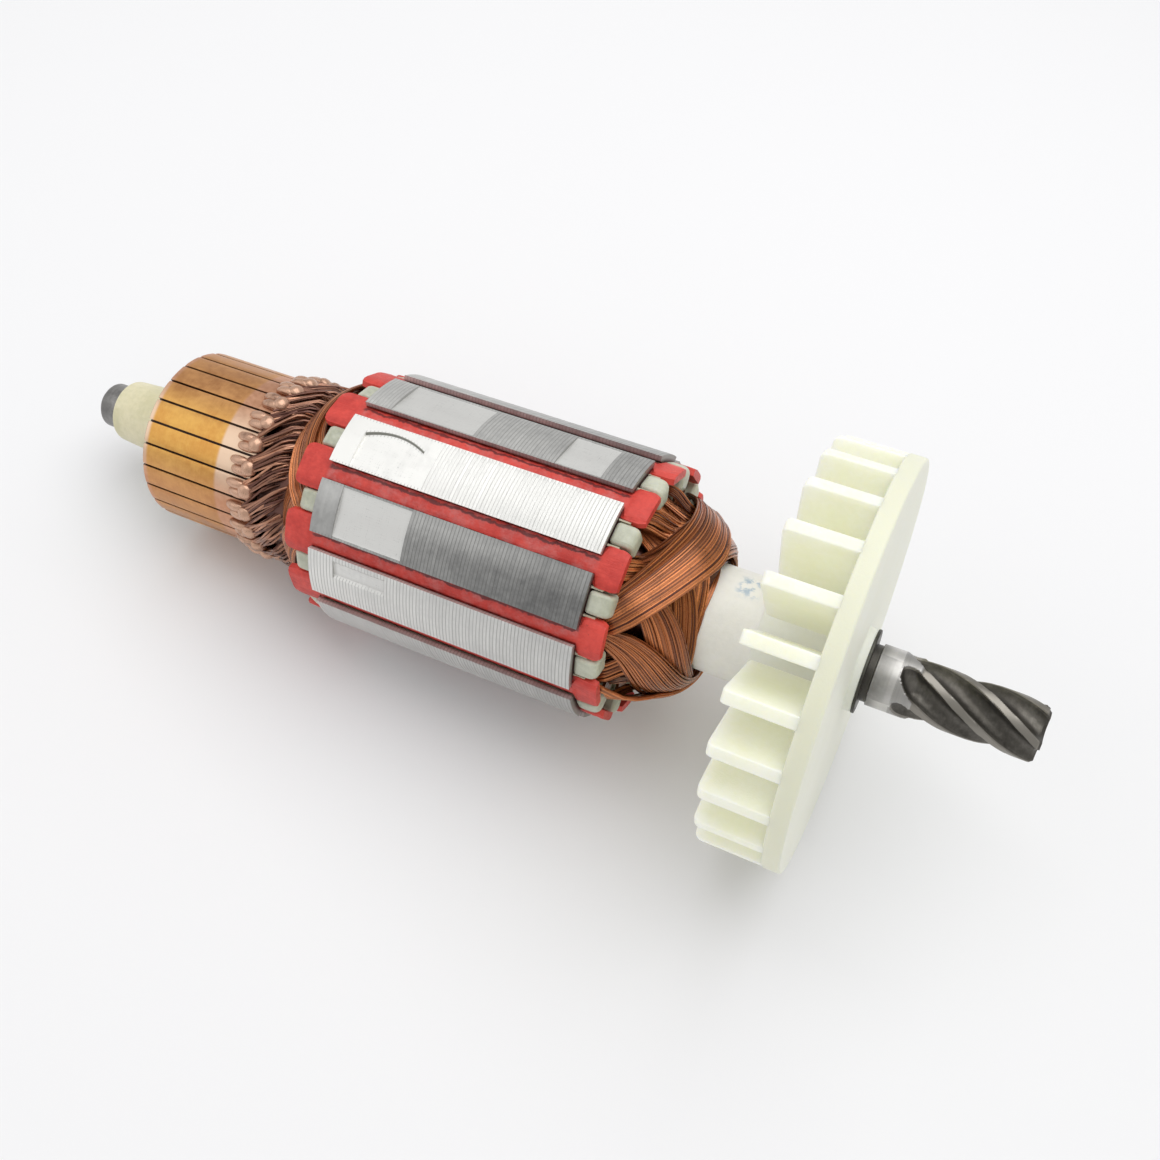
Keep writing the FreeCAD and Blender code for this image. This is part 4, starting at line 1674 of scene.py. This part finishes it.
@dataclass
class CorePiece(Piece):
    """Stack of thin sheets, each a little proud or shy of the next."""

    radius: float = 19.0
    shoulder_r: float = 17.5
    opening_half: float = 1.25
    opening_h: float = 18.2
    floor_r: float = 10.6
    floor_drop: float = 0.7
    floor_turn: float = math.degrees(math.asin(0.378 / 9.9))
    depth: float = 0.45
    samples: int = 22
    wall_samples: int = 6
    wall_turn: float = 0.15
    wall_near: float = 0.1
    # Strand value that marks the points for the painted shade on the flat's wall.
    wall_shade_tone: float = -1.0
    milled_tone: float = 1.0
    smooth_tone: float = 0.9
    groove: float = 0.03
    rounding: float = 0.06
    bore_steps: int = 3
    pockets: tuple[Pocket, ...] = (
        Pocket(105.0, 3.0, 12.0, -1.4, 6.0, 1.1),
        Pocket(135.0, 3.6, 13.8),
        Pocket(165.0, 4.2, 12.2, -3.0, -0.6),
        Pocket(75.0, 4.0, 16.5),
        Pocket(75.0, 28.5, 35.0),
    )
    smooth_ends: tuple[Pair, ...] = ((105.0, 14.2), (135.0, 3.6))

    def slot_points(self) -> list[Pair]:
        """Outline of a slot as (side, height), from the opening round to the opening.

        Returns:
            Points as (side, height).
        """
        lean = math.radians(0.5 * SLOT_PITCH)
        top = math.sqrt(self.radius ** 2 - self.opening_half ** 2)
        low = self.floor_r * math.tan(lean) - TOOTH_HALF / math.cos(lean)
        wide = self.shoulder_r * math.tan(lean) - TOOTH_HALF / math.cos(lean)
        right = [(low - self.floor_drop, self.floor_r - self.floor_drop), (low, self.floor_r)]
        right += [(wide, self.shoulder_r), (self.opening_half, self.opening_h), (self.opening_half, top)]
        return [(-s, h) for s, h in reversed(right)] + right

    def kind(self, x: float, tooth: float, side: float) -> Ground:
        """Kind of the surface at a place on a tooth.

        Args:
            x: Place along the shaft in millimetres.
            tooth: Angle of the middle of the tooth.
            side: Distance from the middle of the tooth.

        Returns:
            The kind of surface.
        """
        if any(pocket.holds(x, tooth, side) for pocket in self.pockets):
            return Ground.MILLED
        if any(tooth == where and x < end for where, end in self.smooth_ends):
            return Ground.SMOOTH
        return Ground.SHEET

    def ring(
        self, x: float, middle: float, offset: float, drop: float, tone: float
    ) -> tuple[list[Vector], list[float]]:
        """Outline of the stack at one place.

        Args:
            x: Place of the ring.
            middle: Place of the middle of its sheet.
            offset: Height of the sheet over the nominal radius.
            drop: Depth of the groove between sheets.
            tone: Tone of the sheet.

        Returns:
            The points and their tones.
        """
        points: list[Vector] = []
        tones: list[float] = []
        edge = math.degrees(math.asin(self.opening_half / self.radius))
        for index in range(SLOTS):
            angle = index * SLOT_PITCH
            for side, height in self.slot_points():
                points.append(local(x, side, height, angle))
                tones.append(tone)
            tooth = angle + 0.5 * SLOT_PITCH
            reach = SLOT_PITCH - 2.0 * edge
            for here in self.sample_angles(x, tooth, angle + edge, reach):
                off = math.radians(here - tooth)
                side = self.radius * off
                walled = self.walled(x, tooth, side)
                found = self.kind(x if self.crosses(x, middle, tooth) else middle, tooth, side)
                if found == Ground.MILLED:
                    flat = (self.radius - self.depth) / math.cos(off)
                    points.append(polar(x, min(flat, self.radius), here))
                    tones.append(self.wall_shade_tone if walled else self.milled_tone)
                elif found == Ground.SMOOTH:
                    points.append(polar(x, self.radius, here))
                    tones.append(self.wall_shade_tone if walled else self.smooth_tone)
                else:
                    points.append(polar(x, self.radius + offset - drop, here))
                    tones.append(tone)
        return points, tones

    def crosses(self, x: float, middle: float, tooth: float) -> bool:
        """True if a flat with a bowed side lies at both places."""
        return any(p.bow > 0.0 and p.spans(x, tooth) and p.spans(middle, tooth) for p in self.pockets)

    def walled(self, x: float, tooth: float, side: float) -> bool:
        """True beside the wall of a bowed flat."""
        near = [p for p in self.pockets if p.bow > 0.0 and p.spans(x, tooth)]
        return any(abs(side - p.low_side(x)) < self.wall_near for p in near)

    def sample_angles(self, x: float, tooth: float, begin: float, reach: float) -> list[float]:
        """Angles of the points across a tooth, with two of them at the side of a bowed flat.

        Args:
            x: Place along the shaft in millimetres.
            tooth: Angle of the middle of the tooth.
            begin: Angle at which the tooth begins.
            reach: Angle across the tooth.

        Returns:
            Angles in degrees, in order.
        """
        angles = [begin + reach * k / self.samples for k in range(1, self.samples)]
        for pocket in self.pockets:
            if pocket.bow > 0.0 and pocket.spans(x, tooth):
                wall = tooth + math.degrees(pocket.low_side(x) / self.radius)
                count = self.wall_samples
                near = wall - self.wall_turn - begin
                before = [begin + near * k / count for k in range(1, count + 1)]
                rest = self.samples - count - 1
                far = begin + reach - wall - self.wall_turn
                after = [wall + self.wall_turn + far * k / rest for k in range(rest)]
                return before + after
        return angles

    def add_sheets(self, draft: Draft) -> None:
        """Outer surface, sheet by sheet.

        Args:
            draft: Mesh that takes the faces.
        """
        rng = random.Random(SEED + 3)
        count = round(CORE_L / SHEET_PITCH)
        rings: list[list[Vector]] = []
        tones: list[float] = []
        for number in range(count):
            start = number * SHEET_PITCH
            middle = start + 0.5 * SHEET_PITCH
            offset = rng.uniform(-0.018, 0.0)
            tone = rng.uniform(0.0, 0.8)
            places = [(start, self.groove), (start + self.rounding, 0.0)]
            places.append((start + SHEET_PITCH - self.rounding, 0.0))
            for x, drop in places:
                points, ring_tones = self.ring(x, middle, offset, drop, tone)
                rings.append(points)
                tones.extend(ring_tones)
        points, ring_tones = self.ring(CORE_L, CORE_L, 0.0, self.groove, 0.4)
        rings.append(points)
        tones.extend(ring_tones)
        draft.rings(rings, capped=False)
        draft.strands[-len(tones):] = tones
        self.add_ends(draft, rings[0], rings[-1])

    def bore_arc(self, x: float, index: int) -> list[Vector]:
        """Points of the bore under a tooth.

        Args:
            x: Place along the shaft in millimetres.
            index: Number of the slot.

        Returns:
            The points, in order.
        """
        begin = index * SLOT_PITCH + self.floor_turn
        reach = SLOT_PITCH - 2.0 * self.floor_turn
        return [polar(x, TUBE_R, begin + reach * k / self.bore_steps) for k in range(self.bore_steps + 1)]

    def add_ends(self, draft: Draft, first: list[Vector], last: list[Vector]) -> None:
        """End faces round the bore, and the bore.

        Args:
            draft: Mesh that takes the faces.
            first: Ring at the rear face.
            last: Ring at the front face.
        """
        per_slot = len(self.slot_points()) + self.samples - 1
        half = len(self.slot_points()) // 2
        turn = self.floor_turn
        for ring in (first, last):
            x = ring[0].x
            for index in range(SLOTS):
                base = index * per_slot
                middle = index * SLOT_PITCH
                span = [ring[(base + half + k) % len(ring)] for k in range(per_slot)]
                bore = self.bore_arc(x, index)[::-1]
                draft.add(span + bore, [range(len(span) + len(bore))])
                floor = [ring[(base + half - 1) % len(ring)], ring[base + half]]
                inner = [polar(x, TUBE_R, middle + turn), polar(x, TUBE_R, middle - turn)]
                draft.add(floor + inner, [range(4)])
        rows = []
        for x in (0.0, CORE_L):
            rows.append([point for index in range(SLOTS) for point in self.bore_arc(x, index)])
        draft.rings(rows, capped=False)

    def make(self, finishes: Finishes) -> None:
        """Builds the stack.

        Args:
            finishes: Materials by finish.
        """
        draft = Draft()
        self.add_sheets(draft)
        self.build("sheet_stack", draft, finishes[Look.CORE], "core_steel", ["core"], sharp=15.0)


@dataclass
class InsulatorPiece(Piece):
    """End spiders with a rounded block beyond each tooth."""

    thickness: float = 1.2
    flange_r: float = 10.2
    flange_segments: int = 72
    web: Pair = (9.9, 16.4)
    block: Pair = (14.6, 18.0)
    block_l: float = 3.2
    block_half: float = 1.5
    bevel: float = 0.5

    def make(self, finishes: Finishes) -> None:
        """Builds both spiders.

        Args:
            finishes: Materials by finish.
        """
        for name, face_x, out in (("end_insulator_rear", 0.0, -1.0), ("end_insulator_front", CORE_L, 1.0)):
            draft = Draft()
            face_end = face_x + out * self.thickness
            outer = self.flange_r
            flange = [(face_x, TUBE_R), (face_end, TUBE_R), (face_end, outer), (face_x, outer)]
            draft.lathe(flange, self.flange_segments)
            x0, x1 = sorted((face_x, face_end))
            web = [(TOOTH_HALF, height) for height in self.web]
            outline = web + [(-s, h) for s, h in reversed(web)]
            low, high = self.block
            end = face_x + out * self.block_l
            corners = [(face_x, low, 0.0), (end, low, 0.8), (end, high, 1.3), (face_x, high, 0.0)]
            for index in range(SLOTS):
                angle = SLOT_PITCH * (index + 0.5)
                draft.prism(outline, x0, x1, angle)
                draft.plate(rounded_profile(corners, 5), self.block_half, angle)
            plastic = finishes[Look.INSULATOR]
            self.build(name + "_fine", draft, plastic, "insulator_plastic", [name], bevel=self.bevel)


@dataclass
class WedgePiece(Piece):
    """Red strips that close the slots."""

    half: float = 2.35
    head_half: float = 2.95
    front_head_half: float = 2.7
    rib: float = 1.15
    rib_h: float = 17.95
    top_h: float = 18.1
    side_h: float = 17.42
    floor_h: float = 16.9
    rear_overhang: float = 4.4
    front_overhang: float = 3.4
    stations: int = 96

    def outline(self, x: float, rng: random.Random) -> list[Pair]:
        """Section of a strip at a place along the shaft.

        Args:
            x: Place along the shaft in millimetres.
            rng: Source of the random draws.

        Returns:
            Points as (side, height).
        """
        beyond = max(-x, x - CORE_L)
        end = min(x + self.rear_overhang, CORE_L + self.front_overhang - x)
        tee = smooth((beyond - 0.05) / 0.25)
        wide = self.head_half if x < 0.0 else self.front_head_half
        half = self.half + (wide - self.half) * tee
        half = half * (0.86 + 0.14 * smooth(end / 0.7)) + rng.uniform(-0.04, 0.04)
        rib = self.rib + (0.86 * half - self.rib) * tee + rng.uniform(-0.05, 0.05)
        top = self.top_h + rng.uniform(-0.05, 0.03)
        side_h = self.side_h + 0.3 * tee
        right = [(half, self.floor_h), (half, side_h), (rib + 0.12, side_h + 0.18 - 0.12 * tee)]
        right += [(rib, self.rib_h), (rib * 0.6, top)]
        return right + [(-s, h) for s, h in reversed(right)]

    def make(self, finishes: Finishes) -> None:
        """Builds the twelve strips.

        Args:
            finishes: Materials by finish.
        """
        rng = random.Random(SEED + 2)
        length = CORE_L + self.rear_overhang + self.front_overhang
        for index in range(SLOTS):
            draft = Draft()
            rings = []
            for j in range(self.stations + 1):
                x = -self.rear_overhang + length * j / self.stations
                rings.append([local(x, s, h, index * SLOT_PITCH) for s, h in self.outline(x, rng)])
            draft.rings(rings)
            name = "slot_wedge_%02d" % (index + 1)
            fibre = finishes[Look.WEDGE]
            self.build(name + "_strip", draft, fibre, "wedge_fibre", [name], sharp=50.0)


@dataclass(frozen=True)
class Lamp:
    """Soft square light."""

    name: str
    place: Triple
    size: float
    power: float


@dataclass
class Studio:
    """Floor, lights and camera."""

    place: Triple = (0.03862731, -0.08641645, 0.15706453)
    turn_degrees: Triple = (33.43690766, -5.03298832, 25.89077832)
    lens_mm: float = 36.035
    sensor_mm: float = 36.0
    nearest: float = 0.01
    floor_half: float = 1.5
    floor_tones: Tones = ((0.86, 0.86, 0.87), (0.9, 0.9, 0.91))
    floor_rough: float = 0.9
    world_strength: float = 0.59
    aim: Triple = (0.0, 0.0, 0.02)
    lamps: tuple[Lamp, ...] = (
        Lamp("key", (0.04, 0.12, 0.5), 0.55, 1.65),
        Lamp("fill", (-0.4, -0.25, 0.35), 0.5, 0.4),
    )

    def floor(self) -> None:
        """Pale floor that keeps the shadow."""
        material = bpy.data.materials.new("floor")
        material.use_nodes = True
        sheet = NodeSheet(material.node_tree)
        shader = material.node_tree.nodes["Principled BSDF"]
        soft = sheet.noise(sheet.node("ShaderNodeTexCoord").outputs["Object"], 3.0, 2.0)
        sheet.feed(shader.inputs["Base Color"], sheet.mix(soft, *self.floor_tones))
        shader.inputs["Roughness"].default_value = self.floor_rough
        mesh = bpy.data.meshes.new("floor")
        half = self.floor_half
        corners = [(-half, -half, 0), (half, -half, 0), (half, half, 0), (-half, half, 0)]
        mesh.from_pydata(corners, [], [(0, 1, 2, 3)])
        mesh.materials.append(material)
        obj = bpy.data.objects.new("floor", mesh)
        bpy.context.scene.collection.objects.link(obj)

    def light(self, lamp: Lamp) -> None:
        """Soft square light aimed at the object.

        Args:
            lamp: Name, place, size and power.
        """
        data = bpy.data.lights.new(lamp.name, "AREA")
        data.shape = "SQUARE"
        data.size = lamp.size
        data.energy = lamp.power
        obj = bpy.data.objects.new(lamp.name, data)
        obj.location = lamp.place
        toward = Vector(self.aim) - Vector(lamp.place)
        obj.rotation_euler = toward.to_track_quat("-Z", "Y").to_euler()
        bpy.context.scene.collection.objects.link(obj)

    def world(self) -> None:
        """White surroundings."""
        world = bpy.data.worlds.new("surroundings")
        world.use_nodes = True
        background = world.node_tree.nodes["Background"]
        background.inputs["Color"].default_value = (1.0, 1.0, 1.0, 1.0)
        background.inputs["Strength"].default_value = self.world_strength
        bpy.context.scene.world = world

    def camera(self) -> None:
        """Camera at the place of the photograph."""
        data = bpy.data.cameras.new("camera")
        data.lens = self.lens_mm
        data.sensor_width = self.sensor_mm
        data.clip_start = self.nearest
        obj = bpy.data.objects.new("camera", data)
        obj.location = self.place
        obj.rotation_euler = [math.radians(a) for a in self.turn_degrees]
        bpy.context.scene.collection.objects.link(obj)
        bpy.context.scene.camera = obj

    def make(self) -> None:
        """Sets up the studio."""
        self.floor()
        self.world()
        for lamp in self.lamps:
            self.light(lamp)
        self.camera()
        bpy.context.scene.view_settings.view_transform = "Standard"


@dataclass
class Armature:
    """The whole object."""

    shaft: ShaftFrame

    def metals(self) -> dict[Look, Finish]:
        """Finishes of the steel and copper parts.

        Returns:
            Finishes by name.
        """
        return {
            Look.STEEL: TurnedSteel("shaft steel"),
            Look.PINION: TurnedSteel(
                "pinion steel",
                dark=(0.062, 0.057, 0.049),
                light=(0.155, 0.145, 0.128),
                rough=0.3,
                land_r=3.82,
                ground_r=4.05,
            ),
            Look.WASHER: TurnedSteel(
                "washer steel", dark=(0.04, 0.04, 0.036), light=(0.12, 0.12, 0.105), rough=0.4
            ),
            Look.BARS: BarCopper("bar copper"),
            Look.HOOKS: WireEnamel(
                "hook copper",
                dark=(0.4, 0.2, 0.12),
                light=(0.8, 0.52, 0.37),
                varnish=(0.12, 0.05, 0.03),
                soak=0.7,
            ),
            Look.CORE: CoreSteel("core steel"),
            Look.WIRE: WireEnamel("winding wire"),
            Look.LEADS: WireEnamel(
                "lead wire",
                dark=(0.12, 0.04, 0.025),
                light=(0.66, 0.33, 0.2),
                varnish=(0.06, 0.022, 0.014),
                soak=0.5,
            ),
        }

    def plastics(self) -> dict[Look, Finish]:
        """Finishes of the moulded parts, the liners and the strips.

        Returns:
            Finishes by name.
        """
        return {
            Look.FAN: Plastic(
                "fan nylon",
                dark=(0.82, 0.83, 0.66),
                light=(0.87, 0.875, 0.77),
                rough=0.42,
                glow=0.8,
                glow_mm=3.0,
                painted_glow=0.1,
            ),
            Look.DISC: DiscPlastic(
                "disc nylon",
                dark=(0.79, 0.795, 0.67),
                light=(0.83, 0.835, 0.735),
                rough=0.42,
                glow=0.4,
                glow_mm=2.0,
                painted_glow=0.05,
            ),
            Look.SLEEVE: StainedPlastic(
                "sleeve plastic", dark=(0.74, 0.73, 0.66), light=(0.86, 0.85, 0.79), rough=0.4, glow=0.3
            ),
            Look.COLLAR: Plastic(
                "collar plastic", dark=(0.64, 0.6, 0.38), light=(0.8, 0.74, 0.52), rough=0.4, glow=0.3
            ),
            Look.INSULATOR: Plastic(
                "insulator plastic",
                dark=(0.36, 0.37, 0.28),
                light=(0.6, 0.61, 0.5),
                rough=0.32,
                glow=0.3,
                glow_mm=0.8,
            ),
            Look.LINER: Plastic("liner fibre", dark=(0.4, 0.36, 0.25), light=(0.6, 0.55, 0.42), rough=0.6),
            Look.WEDGE: WedgeFibre("wedge fibre"),
            Look.RESIN: Resin("moulding resin"),
        }

    def finishes(self) -> Finishes:
        """Materials by finish."""
        finishes = {**self.metals(), **self.plastics()}
        return {look: finish.build() for look, finish in finishes.items()}

    def dress(self, node: str, material: bpy.types.Material) -> None:
        """Gives a CAD node its material.

        Args:
            node: Name of the CAD node.
            material: Material of the node.
        """
        mesh = frame["nodes"][node].data
        mesh.materials.clear()
        mesh.materials.append(material)
        log.info("%s: dressed", node)

    def make(self) -> None:
        """Builds every piece."""
        finishes = self.finishes()
        self.dress("commutator_moulding", finishes[Look.RESIN])
        self.dress("slot_liners", finishes[Look.LINER])
        kinds = (ShaftPiece, CommutatorPiece, CorePiece, WindingPiece)
        kinds += (FanPiece, SleevePiece, InsulatorPiece, WedgePiece)
        for kind in kinds:
            kind(self.shaft).make(finishes)


def main() -> None:
    """Builds the scene."""
    logging.basicConfig(level=logging.INFO)
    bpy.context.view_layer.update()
    shaft = ShaftFrame.from_record(frame["record"])
    EffectLibrary(shaft).build()
    Armature(shaft).make()
    Studio().make()


if __name__ == "__main__":
    main()
